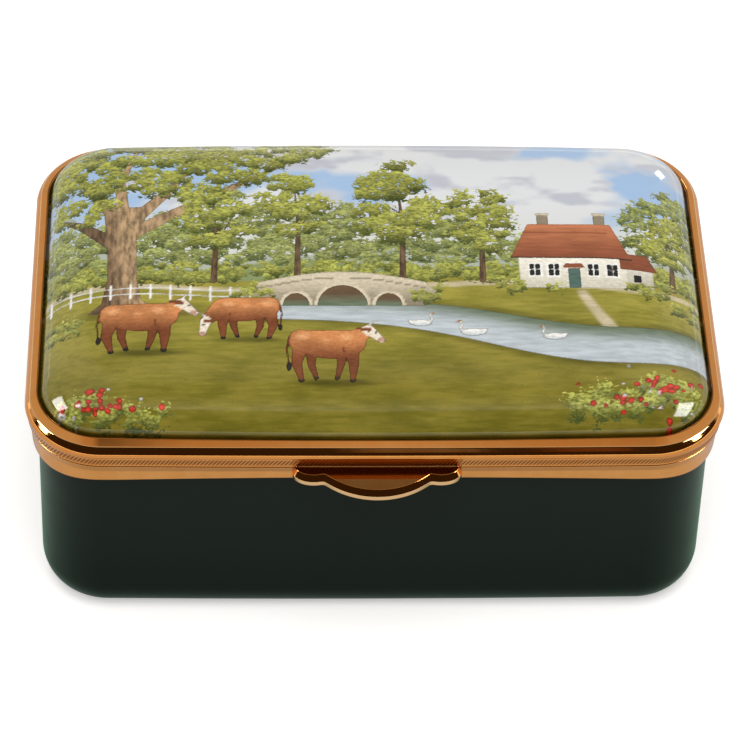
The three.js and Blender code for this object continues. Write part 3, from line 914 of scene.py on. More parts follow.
def make_brass():
    """Plain brass, rubbed round the pin."""
    shader = Shader("pin_brass")
    wear = shader.noise(0.8, (0.3, 2, 2), detail=4)
    colour = shader.mix(wear, BRASS_DARK, BRASS_PALE)
    rough = shader.remap(wear, 0.3, 0.7, 0.22, 0.38)
    return shader.principled(colour, rough, shader.bump(wear, 0.004), METAL)


GREEN_DARK = rgba(0.0026, 0.0047, 0.0034)
GREEN_PALE = rgba(0.0040, 0.0067, 0.0050)
GREEN_SPECK = rgba(0.10, 0.13, 0.10)
GREEN_SHEEN = {"Specular IOR Level": 0.145, "Specular Tint": rgba(0.80, 1.0, 0.84),
               "Sheen Weight": 0.22, "Sheen Roughness": 0.35, "Sheen Tint": rgba(0.30, 1.0, 0.50)}


def make_green_enamel():
    """Dark green enamel with a low sheen, a soft cloudiness and a few pale specks."""
    shader = Shader("green_enamel")
    colour = shader.mix(shader.noise(14), GREEN_DARK, GREEN_PALE)
    colour = shader.mix(shader.specks(9.0, 0.010, 0.022, 0.35), colour, GREEN_SPECK)
    rough = shader.remap(shader.noise(5, detail=4), 0.3, 0.7, 0.28, 0.36)
    normal = shader.bump(shader.noise(2.4, detail=2), 0.010)
    return shader.principled(colour, rough, normal, GREEN_SHEEN)


LINING_DARK = rgba(0.70, 0.69, 0.64)
LINING_PALE = rgba(0.80, 0.79, 0.75)
LINING_PIT = rgba(0.25, 0.22, 0.18)


def make_white_enamel():
    """White enamel lining, faintly uneven in colour and gloss."""
    shader = Shader("white_enamel")
    cloud = shader.noise(9, detail=4)
    colour = shader.mix(cloud, LINING_DARK, LINING_PALE)
    colour = shader.mix(shader.specks(6.0, 0.012, 0.03, 0.5), colour, LINING_PIT)
    rough = shader.remap(cloud, 0.3, 0.7, 0.10, 0.18)
    normal = shader.bump(shader.noise(3.0, detail=2), 0.012)
    return shader.principled(colour, rough, normal)


DEEPEST = 0.7
RIM_START, RIM_END = 0.04, 0.20
PAINT_EDGE = 0.05


def paint_over(shader, under, layer, edge, dabs, tones, outline=1.0):
    """A painted layer over a colour.

    Edge holds noises and how far each moves the layer's edge, in millimetres. Tones are the
    multiples of the layer's colour that the dabs run between, and outline the one at its edge.
    """
    inside = shader.math("MINIMUM", shader.attribute(f"{layer}_inside"), DEEPEST)
    for noise, reach in edge:
        centred = shader.math("SUBTRACT", noise, 0.5)
        inside = shader.math("MULTIPLY_ADD", centred, reach, inside)
    tone = shader.mix(shader.remap(dabs, 0.36, 0.64), *tones)
    colour = shader.multiply(shader.attribute(f"{layer}_colour", "Color"), tone)
    rim = shader.remap(inside, RIM_START, RIM_END, outline, 1.0)
    colour = shader.multiply(colour, shader.add("CombineColor", {0: rim, 1: rim, 2: rim}).outputs[0])
    return shader.mix(shader.remap(inside, -PAINT_EDGE, PAINT_EDGE), under, colour)


# Tones that dabs run between, as multiples of the colour below
LEAFY = (rgba(0.34, 0.38, 0.34), rgba(1.70, 1.68, 1.75))
GENTLE = (grey(0.86), grey(1.14))
BARKY = (grey(0.55), grey(1.45))
MOWN = (rgba(0.76, 0.79, 0.66), rgba(1.20, 1.17, 1.28))
LAWN_TOP, LAWN_FOOT = -4.5 * MM, -6.5 * MM
LAWN_SPECK = rgba(0.06, 0.05, 0.012)
# Painted shade where the enamel meets the gilt lip: its colour multiple and the heights it fades between
RIM_SHADE_COLOUR = rgba(0.50, 0.40, 0.26)
RIM_SHADE_FOOT, RIM_SHADE_TOP = LIP_TOP - 0.3 * MM, LIP_TOP + 0.6 * MM


def make_painting():
    """A fired enamel painting in fine dabs, glossy, with the faintest relief of the brush."""
    shader = Shader("painted_enamel")
    broad = shader.noise(1.3, detail=2)
    dabs = shader.noise(0.38, (0.55, 1, 1), detail=2, roughness=0.6)
    fine = shader.noise(0.28, detail=1)
    streaks = shader.noise(0.7, (0.16, 1, 1), roughness=0.6)
    mottle = shader.noise(5.0, (0.5, 1, 1))
    grain = shader.average(dabs, broad, 0.25)
    bark = shader.noise(0.7, (1, 0.3, 1))

    on_lawn = shader.remap(shader.along("Y"), LAWN_TOP, LAWN_FOOT)
    grass = shader.remap(shader.average(streaks, mottle), 0.40, 0.60)
    mown = shader.mix(on_lawn, grey(1), shader.mix(grass, *MOWN))
    colour = shader.multiply(shader.attribute("ground_colour", "Color"), mown)
    speck = shader.math("MULTIPLY", shader.remap(fine, 0.70, 0.74, 0, 0.55), on_lawn)
    colour = shader.mix(speck, colour, LAWN_SPECK)

    ragged = [(dabs, 3.2), (broad, 3.2)]
    neat = [(fine, 0.2)]
    for layer, edge, noise, tones, outline in (
            ("far_trees", ragged, grain, LEAFY, 1.0),
            ("trunks", neat, bark, BARKY, 0.6),
            ("river", neat, streaks, GENTLE, 0.5),
            ("masonry", neat, grain, GENTLE, 0.6),
            ("details", neat, streaks, GENTLE, 0.7),
            ("near_trees", ragged, grain, LEAFY, 1.0),
            ("animals", neat, dabs, GENTLE, 0.35)):
        colour = paint_over(shader, colour, layer, edge, noise, tones, outline)

    # Painted shade on the enamel where it meets the gilt lip
    above_rim = shader.remap(shader.along("Z"), RIM_SHADE_FOOT, RIM_SHADE_TOP, smooth=True)
    colour = shader.multiply(colour, shader.mix(above_rim, RIM_SHADE_COLOUR, grey(1)))
    rough = shader.remap(shader.noise(4), 0.3, 0.7, 0.05, 0.09)
    normal = shader.bump(shader.noise(5, detail=1), 0.008)
    return shader.principled(colour, rough, shader.bump(grain, 0.0008, normal))


# Painting on the lid: a river scene in plan millimetres, X to the right and Y away from the front.
# A field is how far each vertex lies inside a shape, in millimetres, and is negative outside.
def ellipse(x, y, centre, radii, turn=0.0):
    across, up = x - centre[0], y - centre[1]
    along = across * math.cos(turn) + up * math.sin(turn)
    aside = up * math.cos(turn) - across * math.sin(turn)
    return (1 - np.hypot(along / radii[0], aside / radii[1])) * min(radii)


def to_segment(x, y, start, end):
    """The distance to a segment and the share of it where the nearest point lies."""
    run, rise = end[0] - start[0], end[1] - start[1]
    share = np.clip(((x - start[0]) * run + (y - start[1]) * rise) / (run ** 2 + rise ** 2), 0, 1)
    return np.hypot(x - start[0] - share * run, y - start[1] - share * rise), share


def polygon(x, y, corners):
    nearest = np.full(x.shape, np.inf)
    is_inside = np.zeros(x.shape, bool)
    for start, end in zip(corners, [*corners[1:], corners[0]]):
        distance, _ = to_segment(x, y, start, end)
        nearest = np.minimum(nearest, distance)
        if start[1] != end[1]:
            crossing = start[0] + (y - start[1]) * (end[0] - start[0]) / (end[1] - start[1])
            is_inside ^= ((start[1] > y) != (end[1] > y)) & (x < crossing)
    return np.where(is_inside, nearest, -nearest)


def stroke(x, y, points, widths):
    """A brush stroke through points, from one width to another."""
    inside = np.full(x.shape, -np.inf)
    spans = len(points) - 1
    for i in range(spans):
        distance, share = to_segment(x, y, points[i], points[i + 1])
        along = (i + share) / spans
        inside = np.maximum(inside, (widths[0] + (widths[1] - widths[0]) * along) / 2 - distance)
    return inside


def between_columns(lattice, row, column, share):
    """Values of a lattice that repeats, between a column and the next one."""
    cells = len(lattice)
    here, beyond = lattice[row % cells, column % cells], lattice[row % cells, (column + 1) % cells]
    return here * (1 - share) + beyond * share


def soft_noise(x, y, size, seed, octaves=4, cells=64):
    """Cloudy noise from 0 to 1 with features of the given size."""
    total = np.zeros(x.shape)
    for octave in range(octaves):
        lattice = np.random.default_rng(seed + octave).random((cells, cells))
        u, v = x / size * 2 ** octave + cells / 2, y / size * 2 ** octave + cells / 2
        column, row = np.floor(u).astype(int), np.floor(v).astype(int)
        share_u, share_v = ease(u - column, 0, 1), ease(v - row, 0, 1)
        low = between_columns(lattice, row, column, share_u)
        high = between_columns(lattice, row + 1, column, share_u)
        total += (low + (high - low) * share_v) * 0.5 ** octave
    return total / (2 - 0.5 ** (octaves - 1))


FAR_OUTSIDE = -9.0


class Layer:
    """Shapes painted over one another.

    Every vertex holds a colour and how far inside the nearest shape it lies.
    """

    def __init__(self, x, y):
        self.x, self.y = x, y
        self.inside = np.full(x.shape, FAR_OUTSIDE)
        self.colour = np.zeros((len(x), 3))

    def paint(self, inside, colour):
        taken = (inside > 0) | ((self.inside < 0) & (inside > self.inside))
        self.colour[taken] = np.broadcast_to(colour, self.colour.shape)[taken]
        self.inside = np.maximum(self.inside, inside)

    def ellipse(self, centre, radii, colour, turn=0.0):
        self.paint(ellipse(self.x, self.y, centre, radii, turn), colour)

    def polygon(self, corners, colour):
        self.paint(polygon(self.x, self.y, corners), colour)

    def box(self, left, foot, width, height, colour):
        right, top = left + width, foot + height
        self.polygon([(left, foot), (right, foot), (right, top), (left, top)], colour)

    def stroke(self, points, widths, colour):
        self.paint(stroke(self.x, self.y, points, widths), colour)

    def lit(self, low, high, dark, pale):
        """A colour that runs from dark at one height to pale at another."""
        return blend(np.array(dark), pale, ease(self.y, low, high))

    def store(self, piece, name):
        set_floats(piece, f"{name}_inside", self.inside)
        set_colours(piece.data, f"{name}_colour", self.colour)


class Figure:
    """An animal drawn in shares of its length, from the point where it stands."""

    def __init__(self, layer, across, up, length, facing):
        self.layer, self.across, self.up = layer, across, up
        self.length, self.facing = length, facing

    def at(self, points):
        return [(self.across + self.facing * self.length * u, self.up + self.length * v)
                for u, v in points]

    def sized(self, shares):
        return [share * self.length for share in shares]

    def lit(self, low, high, dark, pale):
        return self.layer.lit(self.up + low * self.length, self.up + high * self.length, dark, pale)

    def stroke(self, points, widths, colour):
        self.layer.stroke(self.at(points), self.sized(widths), colour)

    def ellipse(self, centre, radii, colour):
        self.layer.ellipse(self.at([centre])[0], self.sized(radii), colour)

    def polygon(self, corners, colour):
        self.layer.polygon(self.at(corners), colour)


SKY_BLUE = (0.33, 0.47, 0.69)
CLOUD_PALE = (0.64, 0.66, 0.69)
CLOUD_GREY = (0.46, 0.48, 0.55)
HAZE = (0.60, 0.62, 0.58)
HILL_FAR = (0.38, 0.42, 0.36)
HILL_NEAR = (0.22, 0.27, 0.12)
LAWN_FAR = (0.29, 0.26, 0.045)
LAWN_NEAR = (0.175, 0.150, 0.020)
PATH = (0.58, 0.50, 0.36)
WATER_PALE = (0.44, 0.49, 0.53)
WATER_DARK = (0.13, 0.17, 0.11)
BANK_SHADE = 0.62
BARK_PALE = (0.34, 0.23, 0.13)
BARK_DARK = (0.12, 0.075, 0.042)
LEAF_PALE = (0.28, 0.29, 0.062)
LEAF_DARK = (0.050, 0.064, 0.015)
DISTANT_PALE = (0.24, 0.265, 0.085)
DISTANT_DARK = (0.070, 0.088, 0.028)
STONE_PALE = (0.60, 0.53, 0.40)
STONE_DARK = (0.25, 0.21, 0.15)
LIMEWASH = (0.78, 0.75, 0.66)
ROOF_PALE = (0.46, 0.17, 0.08)
ROOF_DARK = (0.25, 0.08, 0.04)
CHESTNUT_PALE = (0.56, 0.23, 0.085)
CHESTNUT_DARK = (0.17, 0.052, 0.020)
CHESTNUT_GLOSS = (0.74, 0.38, 0.18)
INK = (0.022, 0.022, 0.020)
WHITE_PAINT = (0.80, 0.80, 0.77)
POPPY = (0.55, 0.045, 0.028)
CREAM = (0.74, 0.66, 0.54)
MUZZLE = (0.45, 0.27, 0.20)
WALL_SHADE = (0.58, 0.55, 0.46)
DOOR_GREEN = (0.075, 0.13, 0.11)
FEATHER_SHADE = (0.48, 0.52, 0.56)
BEAK = (0.60, 0.22, 0.04)

HORIZON = -4.5
# Arches of the bridge: middle across, half width and half height
ARCHES = ((-5.0, 3.9, 4.4), (-12.2, 2.1, 2.7), (2.2, 2.1, 2.7))
ARCH_FOOT = -10.4
ARCH_RING = 0.5
BRIDGE_MIDDLE = -5
BRIDGE_HALF_LENGTH = 13.0
# The cottage: left edges of its windows, panes (left, foot) in a window, and chimneys
WINDOWS = (24.2, 27.2, 33.4, 36.4)
PANES = ((0.25, -3.65), (0.25, -2.25), (1.2, -3.65), (1.2, -2.25))
CHIMNEYS = (26.2, 35.2)
ROOF_LINES = (0.15, 0.35, 0.55, 0.75)
FENCE_PITCH = 3.1
# Cattle: feet, length, facing right (1) or left (-1) and whether it grazes; swans are alike
CATTLE = ((-36.0, -20.0, 15.5, 1, False), (-20.5, -17.5, 13.5, -1, True),
          (-7.0, -25.5, 15.0, 1, False))
SWANS = ((7.0, -14.6, 3.6, 1), (15.0, -16.6, 4.0, -1), (27.5, -17.4, 3.6, -1))
# Trees and bushes: middle of the crown across and up, its half width and half height
FAR_TREES = (
    (-49, 4.0, 6, 8), (-42, 3.0, 6, 7), (-35, 5.0, 6, 8), (-28, 5.0, 6, 8), (-21, 7.5, 6.5, 10),
    (-14, 5.0, 6, 8), (-7, 6.5, 6, 8.5), (-1, 4.0, 5, 7), (5, 5.0, 5, 8), (12, 4.0, 5.5, 7.5),
    (18, 6.0, 5, 8), (24, 1.5, 4, 5), (44, 7.0, 5, 8), (50, 10.0, 5, 11))
UNDERGROWTH = [(across, HORIZON + 1.4, 3.6, 2.4) for across in np.arange(-50, 51, 4.2)]
MIDDLE_TREES = (
    (-25, 9.5, 6.5, 8.5), (-12, 12.5, 7, 9), (4.5, 13.5, 8.5, 11), (17, 9.0, 5.5, 9), (47, 5.0, 5, 7))
OLD_TREE = (
    (-46, 22, 9, 8), (-34, 27, 13, 6), (-22, 22, 10, 6), (-13, 27, 8, 4.5), (-46, 12, 6, 4),
    (-28, 15, 7, 3.5), (-36, 18, 7, 4))
BUSHES = (
    (36, -28.5, 7, 2.2), (45, -27, 6, 3.0), (-44, -29, 6, 2.0), (-36, -30, 5, 1.3),
    (21.5, -6.0, 2.4, 1.8), (28.5, -6.4, 1.6, 0.9), (43.8, -6.0, 3.4, 2.2), (49.5, -8.5, 3.2, 2.6),
    (-19.0, -7.6, 2.8, 1.8), (8.5, -7.8, 3.0, 1.8), (-48.5, -13.0, 3.6, 2.0))
OLD_TRUNK = (
    (-44.6, -11.2), (-42.4, -9.2), (-41.6, -4), (-41.8, 4), (-42.6, 12), (-36.4, 12), (-37.2, 4),
    (-37.0, -4), (-36.2, -9.0), (-33.6, -11.0), (-37.6, -10.4), (-40.2, -11.6))
OLD_LIMBS = (
    ((-40, 9), (-45, 17), (-49, 24)), ((-39.5, 9), (-40, 18), (-37, 28)),
    ((-38.5, 8), (-32, 16), (-27, 25)), ((-38, 6), (-29, 12), (-20, 18), (-13, 23)),
    ((-41, 4), (-46, 9), (-50, 12)))
# Flowers: middle, spread and number of each patch
MEADOWS = (((42, -26.8), (5.2, 1.7), 34), ((-41, -28.6), (4.6, 0.9), 22))


def river_middle(x):
    """How far up the middle of the river lies."""
    return -11.0 - 7.0 * ease(x, -12, 40) + 0.5 * np.sin(x / 7)


def river(x, y):
    """The field of a river that widens from the bridge to the right-hand edge."""
    half_width = 1.9 + 1.7 * ease(x, -14, 24)
    return half_width - np.abs(y - river_middle(x)) + np.minimum((x + 17.5) * 0.6, 0)


def paint_ground(x, y):
    """Sky, hills and lawn, with soft edges."""
    billow = soft_noise(x, y * 1.7, 15, 3)
    cover = ease(billow, 0.40, 0.56)
    ground = blend(np.array(SKY_BLUE), CLOUD_PALE, cover)
    ground = blend(ground, CLOUD_GREY, cover * ease(soft_noise(x, y * 2.2, 8, 11), 0.46, 0.66))
    ground = blend(ground, HAZE, 1 - ease(y, 0, 14))
    hills = 1.2 + 1.6 * np.sin(x / 9 + 1) + 0.7 * np.sin(x / 3.7)
    ground = blend(ground, HILL_FAR, ease(hills - y, -0.25, 0.25))
    hills = -1.6 + 1.2 * np.sin(x / 7 + 3) + 0.4 * np.sin(x / 2.9)
    ground = blend(ground, HILL_NEAR, ease(hills - y, -0.25, 0.25))

    edge = HORIZON + 0.6 * np.sin(x / 12)
    lawn = blend(np.array(LAWN_FAR), LAWN_NEAR, ease(edge - y, 2, 26))
    lawn = lawn * (0.82 + 0.36 * soft_noise(x, y * 2.6, 11, 23))[:, None]
    ground = blend(ground, lawn, ease(edge - y, -0.2, 0.2))
    banks = ease(river(x, y), -1.6, 0.0)
    ground = ground * (1 - (1 - BANK_SHADE) * banks)[:, None]
    lane = ease(0.45 - np.abs(y - edge + 1.6 + 0.3 * np.sin(x / 5)), -0.2, 0.1)
    ground = blend(ground, PATH, lane * 0.8)
    footpath = 33.5 + (y + 7) * -0.28 + 1.2 * np.sin(y / 4)
    width = 0.7 + 0.055 * np.clip(-7 - y, 0, 30)
    walked = ease(width - np.abs(x - footpath), -0.5, 0.4) * ease(-6.5 - y, 0, 1) * (y > river_middle(x))
    ground = blend(ground, PATH, walked * 0.75)
    for centre_x, centre_y, length, _, _ in CATTLE:
        shade = ease(ellipse(x, y, (centre_x + 1, centre_y - 0.1), (length * 0.52, 0.9)), 0, 0.6)
        ground = ground * (1 - 0.50 * shade)[:, None]
    shade = ease(ellipse(x, y, (-35, -11.5), (15, 2.2)), 0, 1.4)
    return ground * (1 - 0.45 * shade)[:, None]


def paint_crown(layer, random, centre, radii, pale, dark, clumps):
    """A crown of foliage as clumps from its top down, each pale above and dark below."""
    turns = random.uniform(0, 2 * math.pi, clumps)
    reaches = np.sqrt(random.uniform(0, 1, clumps)) * 0.80
    across = centre[0] + radii[0] * reaches * np.cos(turns)
    up = centre[1] + radii[1] * reaches * np.sin(turns)
    size = math.sqrt(radii[0] * radii[1] / clumps) * random.uniform(0.85, 1.35, clumps)
    brightness = random.uniform(0.78, 1.22, clumps)
    for i in np.argsort(-up):
        radius = (size[i] * 1.35, size[i])
        colour = layer.lit(up[i] - radius[1], up[i] + 0.8 * radius[1], dark, pale) * brightness[i]
        layer.ellipse((across[i], up[i]), radius, colour, random.uniform(-0.3, 0.3))


def paint_crowns(layer, random, crowns, clumps, pale=LEAF_PALE, dark=LEAF_DARK):
    for across, up, half_width, half_height in crowns:
        paint_crown(layer, random, (across, up), (half_width, half_height), pale, dark, clumps)


def paint_far_trees(layer):
    random = np.random.default_rng(5)
    paint_crowns(layer, random, FAR_TREES, 26, DISTANT_PALE, DISTANT_DARK)
    paint_crowns(layer, random, UNDERGROWTH, 10)


def paint_trunks(layer):
    """The trunks of the middle trees, and the old tree at the left with its limbs."""
    for foot, height, half_width, half_height in MIDDLE_TREES:
        top = height + 0.3 * half_height
        layer.stroke([(foot, HORIZON - 0.4), (foot + 0.3, height - 0.5 * half_height), (foot - 0.2, top)],
                     (1.1, 0.3), BARK_DARK)
        for side in (-1, 1):
            start = (foot + 0.2, height - (0.5 + 0.2 * side) * half_height)
            layer.stroke([start, (foot + side * 0.5 * half_width, height + 0.1 * half_height)],
                         (0.4, 0.15), BARK_DARK)
    bark = blend(np.array(BARK_DARK), BARK_PALE, ease(layer.x + 0.12 * layer.y, -42.6, -38.5))
    layer.polygon(OLD_TRUNK, bark)
    for limb in OLD_LIMBS:
        layer.stroke(limb, (2.6, 0.4), bark)


def paint_near_trees(layer):
    random = np.random.default_rng(8)
    paint_crowns(layer, random, OLD_TREE, 26)
    paint_crowns(layer, random, MIDDLE_TREES, 34)
    paint_crowns(layer, random, BUSHES, 12)


def paint_river(layer):
    """Water, dark under its far bank and pale towards the near one."""
    x, y = layer.x, layer.y
    colour = blend(np.array(WATER_PALE), WATER_DARK, ease(y - river_middle(x), -0.6, 3.4))
    layer.paint(river(x, y), colour)


def deck_height(x):
    """How far up the top of the bridge lies."""
    share = np.clip((x - BRIDGE_MIDDLE) / BRIDGE_HALF_LENGTH, -1, 1)
    return -5.6 + 2.2 * np.cos(share * math.pi / 2)


def paint_masonry(layer):
    """The stone of the bridge, the walls of the cottage and its chimneys."""
    x, y = layer.x, layer.y
    past_end = np.minimum(BRIDGE_HALF_LENGTH - np.abs(x - BRIDGE_MIDDLE), 0)
    layer.paint(np.minimum(deck_height(x) - y, y - ARCH_FOOT) + past_end,
                layer.lit(ARCH_FOOT, -4, STONE_DARK, STONE_PALE))
    layer.paint(0.30 - np.abs(y - deck_height(x)) + past_end, STONE_PALE)
    layer.paint(0.14 - np.abs(y - deck_height(x) + 1.0) + past_end, STONE_DARK)
    for across, half_width, half_height in ARCHES:
        ring = ellipse(x, y, (across, ARCH_FOOT), (half_width + ARCH_RING, half_height + ARCH_RING))
        layer.paint(np.minimum(ring, y - ARCH_FOOT), STONE_PALE)

    wall = layer.lit(-6.5, 0.5, WALL_SHADE, LIMEWASH)
    layer.box(39.2, -5.9, 4.8, 4.3, wall * 0.82)
    for left in CHIMNEYS:
        layer.box(left, 7.0, 1.8, 3.2, STONE_DARK)
        layer.box(left - 0.2, 10.0, 2.2, 0.6, STONE_PALE)
    layer.box(22.8, -6.4, 16.8, 7.6, wall)
    for left in WINDOWS:
        layer.box(left, -3.9, 2.2, 3.1, WHITE_PAINT)


def paint_details(layer):
    """Arch openings, roofs, window panes, door and the white fence."""
    x, y = layer.x, layer.y
    for across, half_width, half_height in ARCHES:
        opening = ellipse(x, y, (across, ARCH_FOOT), (half_width, half_height))
        layer.paint(np.minimum(opening, y - ARCH_FOOT),
                    layer.lit(ARCH_FOOT, ARCH_FOOT + half_height * 0.7, WATER_DARK, BARK_DARK))
    roof = layer.lit(0.4, 8, ROOF_DARK, ROOF_PALE)
    layer.polygon([(38.8, -1.9), (44.8, -1.9), (43.2, 1.6), (38.8, 1.6)], roof * 0.9)
    layer.polygon([(21.7, 0.5), (40.6, 0.5), (37.8, 8.0), (24.6, 8.0)], roof)
    for share in ROOF_LINES:
        left, right, height = 21.7 + 2.9 * share, 40.6 - 2.8 * share, 0.5 + 7.5 * share
        layer.stroke([(left, height), (right, height)], (0.16, 0.16), ROOF_DARK)
    layer.stroke([(21.7, 0.45), (40.6, 0.45)], (0.35, 0.35), INK)
    for left in WINDOWS:
        for pane, height in PANES:
            layer.box(left + pane, height, 0.75, 1.2, INK)
    layer.box(30.5, -6.4, 1.9, 4.3, DOOR_GREEN)
    layer.polygon([(29.6, -1.9), (33.3, -1.9), (32.7, -0.9), (30.2, -0.9)], ROOF_DARK)
    layer.box(40.8, -4.6, 1.2, 1.6, INK)
    paint_fence(layer)


def fence_foot(across):
    return -9.3 + 0.6 * math.sin(across / 9)


def paint_fence(layer):
    """White posts and two rails along the far side of the lawn."""
    for left in np.arange(-50.5, -19, FENCE_PITCH):
        layer.box(left, fence_foot(left), 0.42, 3.4, WHITE_PAINT)
    for height in (1.2, 2.5):
        ends = np.arange(-51, -19, FENCE_PITCH)
        layer.stroke([(across, fence_foot(across) + height) for across in ends], (0.30, 0.30), WHITE_PAINT)


# Shapes on a body of length 1: patches of gloss (centre, radii), then legs (hip, knee, hoof)
GLOSSES = (((-0.29, 0.57), (0.11, 0.07)), ((0.16, 0.56), (0.10, 0.07)), ((-0.05, 0.52), (0.10, 0.04)))
FAR_LEGS = (((0.12, 0.40), (0.10, 0.20), (0.06, 0.04)), ((-0.20, 0.40), (-0.20, 0.20), (-0.15, 0.04)))
NEAR_LEGS = (((0.21, 0.44), (0.23, 0.22), (0.22, 0.02)), ((-0.31, 0.44), (-0.35, 0.22), (-0.30, 0.02)))
TAIL = ((-0.42, 0.56), (-0.45, 0.40), (-0.43, 0.22))
TASSEL = (-0.43, 0.18)
# Neck, brow and nose
HEAD_DOWN = ((0.26, 0.47), (0.42, 0.28), (0.46, 0.08))
HEAD_UP = ((0.22, 0.52), (0.39, 0.66), (0.52, 0.52))
SWAN_TAIL = ((-0.62, 0.34), (-0.20, 0.30), (-0.10, 0.02), (-0.45, 0.02))
SWAN_NECK = ((0.36, 0.16), (0.50, 0.36), (0.40, 0.58), (0.50, 0.74))
SWAN_BEAK = ((0.50, 0.72), (0.66, 0.66))


def paint_legs(figure, legs, widths, hoof, colour):
    for leg in legs:
        figure.stroke(leg, widths, colour)
        figure.ellipse(leg[-1], hoof, INK)


def paint_cow(layer, across, up, length, facing, grazes):
    """One of the cattle, chestnut with a cream face."""
    figure = Figure(layer, across, up, length, facing)
    muscle = 0.30 * (soft_noise(layer.x, layer.y, 2.6, 31, 2) - 0.5)[:, None]
    hide = figure.lit(0.26, 0.62, CHESTNUT_DARK, CHESTNUT_PALE) * (1 + 2 * muscle)
    for centre, radii in GLOSSES:
        gloss = ellipse(layer.x, layer.y, figure.at([centre])[0], figure.sized(radii))
        hide = blend(hide, CHESTNUT_GLOSS, 0.7 * ease(gloss, 0, 0.055 * length))
    far_side = np.array(CHESTNUT_DARK) * 0.9
    paint_legs(figure, FAR_LEGS, (0.12, 0.045), (0.030, 0.022), far_side)
    figure.stroke(TAIL, (0.028, 0.02), CHESTNUT_DARK)
    figure.ellipse(TASSEL, (0.025, 0.055), INK)
    figure.stroke([(-0.27, 0.50), (0.20, 0.49)], (0.31, 0.33), hide)
    figure.ellipse((0.0, 0.42), (0.27, 0.145), hide)
    figure.ellipse((-0.30, 0.57), (0.12, 0.095), hide)
    paint_legs(figure, NEAR_LEGS, (0.17, 0.05), (0.034, 0.024), hide)
    figure.stroke([(0.14, 0.36), (0.13, 0.56)], (0.02, 0.01), far_side)
    neck, brow, nose = HEAD_DOWN if grazes else HEAD_UP
    figure.stroke([neck, brow], (0.26, 0.14), hide)
    figure.stroke([brow, nose], (0.135, 0.08), CREAM)
    figure.ellipse(nose, (0.045, 0.038), MUZZLE)
    x, y = brow
    figure.stroke([brow, (x - 0.11, y + 0.02)], (0.06, 0.03), CHESTNUT_DARK)
    eye = (0.5 * x + 0.5 * nose[0] + 0.01, 0.6 * y + 0.4 * nose[1] + 0.02)
    figure.ellipse(eye, (0.018, 0.018), INK)
    figure.stroke([(x, y + 0.05), (x + 0.05, y + 0.12), (x + 0.10, y + 0.13)], (0.03, 0.015), LIMEWASH)


def paint_swan(layer, across, up, length, facing):
    figure = Figure(layer, across, up, length, facing)
    white = figure.lit(-0.1, 0.3, FEATHER_SHADE, WHITE_PAINT)
    figure.ellipse((0, 0.14), (0.50, 0.20), white)
    figure.polygon(SWAN_TAIL, white)
    figure.stroke(SWAN_NECK, (0.13, 0.12), white)
    figure.stroke(SWAN_BEAK, (0.10, 0.05), BEAK)


def paint_flowers(layer):
    """Poppies, and a third as many white flowers, scattered over two patches."""
    random = np.random.default_rng(22)
    for centre, spread, count in MEADOWS:
        kinds = ((POPPY, count, 0.38, 0.62), (WHITE_PAINT, count // 3, 0.30, 0.40))
        for colour, number, low, high in kinds:
            for _ in range(number):
                place = random.normal(centre, spread)
                radius = random.uniform(low, high)
                shade = np.array(colour) * random.uniform(0.75, 1.2)
                layer.ellipse(place, (radius, radius * 0.8), shade)


def paint(piece, points):
    """Store the painting's layers on the panel for its material to read."""
    x, y = points[:, 0] / MM, points[:, 1] / MM
    names = ("ground", "far_trees", "trunks", "river", "masonry", "details", "near_trees", "animals")
    layers = {name: Layer(x, y) for name in names}
    layers["ground"].paint(np.ones_like(x), paint_ground(x, y))
    paint_far_trees(layers["far_trees"])
    paint_trunks(layers["trunks"])
    paint_river(layers["river"])
    paint_masonry(layers["masonry"])
    paint_details(layers["details"])
    paint_near_trees(layers["near_trees"])
    for cow in CATTLE:
        paint_cow(layers["animals"], *cow)
    for swan in SWANS:
        paint_swan(layers["animals"], *swan)
    paint_flowers(layers["animals"])
    for name, layer in layers.items():
        layer.store(piece, name)


# Stage: camera, cards, lamp, floor and surround
def direction(azimuth, elevation):
    """A unit vector; azimuth 0 is the front and 90 the right, in degrees."""
    az, el = math.radians(azimuth), math.radians(elevation)
    return Vector((math.sin(az) * math.cos(el), -math.cos(az) * math.cos(el), math.sin(el)))


def make_camera():
    az, roll = math.radians(CAMERA_AZIMUTH), math.radians(CAMERA_ROLL)
    back = direction(CAMERA_AZIMUTH, CAMERA_ELEVATION)
    level = Vector((math.cos(az), math.sin(az), 0))
    upright = back.cross(level)
    right = math.cos(roll) * level + math.sin(roll) * upright
    up = math.cos(roll) * upright - math.sin(roll) * level
    data = bpy.data.cameras.new("camera")
    data.sensor_width = SENSOR_MM
    data.lens = CAMERA_FOCAL_PX * SENSOR_MM / PHOTO_SIZE_PX
    data.shift_x = -PRINCIPAL_SHIFT_PX[0] / PHOTO_SIZE_PX
    data.shift_y = PRINCIPAL_SHIFT_PX[1] / PHOTO_SIZE_PX
    data.clip_start = CLIP_START
    camera = link("camera", data)
    place = CAMERA_TARGET + back * CAMERA_DISTANCE
    rows = [(right[i], up[i], back[i], place[i]) for i in range(3)]
    camera.matrix_world = Matrix([*rows, (0, 0, 0, 1)])
    bpy.context.scene.camera = camera


def make_card(name, points, faces, colours):
    """A glowing card with a colour at every vertex, seen in reflections only."""
    mesh = bpy.data.meshes.new(name)
    mesh.from_pydata(np.asarray(points).reshape(-1, 3).tolist(), [], faces)
    set_colours(mesh, "glow", np.asarray(colours).reshape(-1, 3))
    shader = Shader(name)
    glow = shader.add("Emission", {"Color": shader.attribute("glow", "Color")})
    mesh.materials.append(shader.finish(glow.outputs[0]))
    card = link(name, mesh)
    card.visible_camera = False
    card.visible_diffuse = False
    card.visible_shadow = False
    card.visible_transmission = False
    card.visible_volume_scatter = False


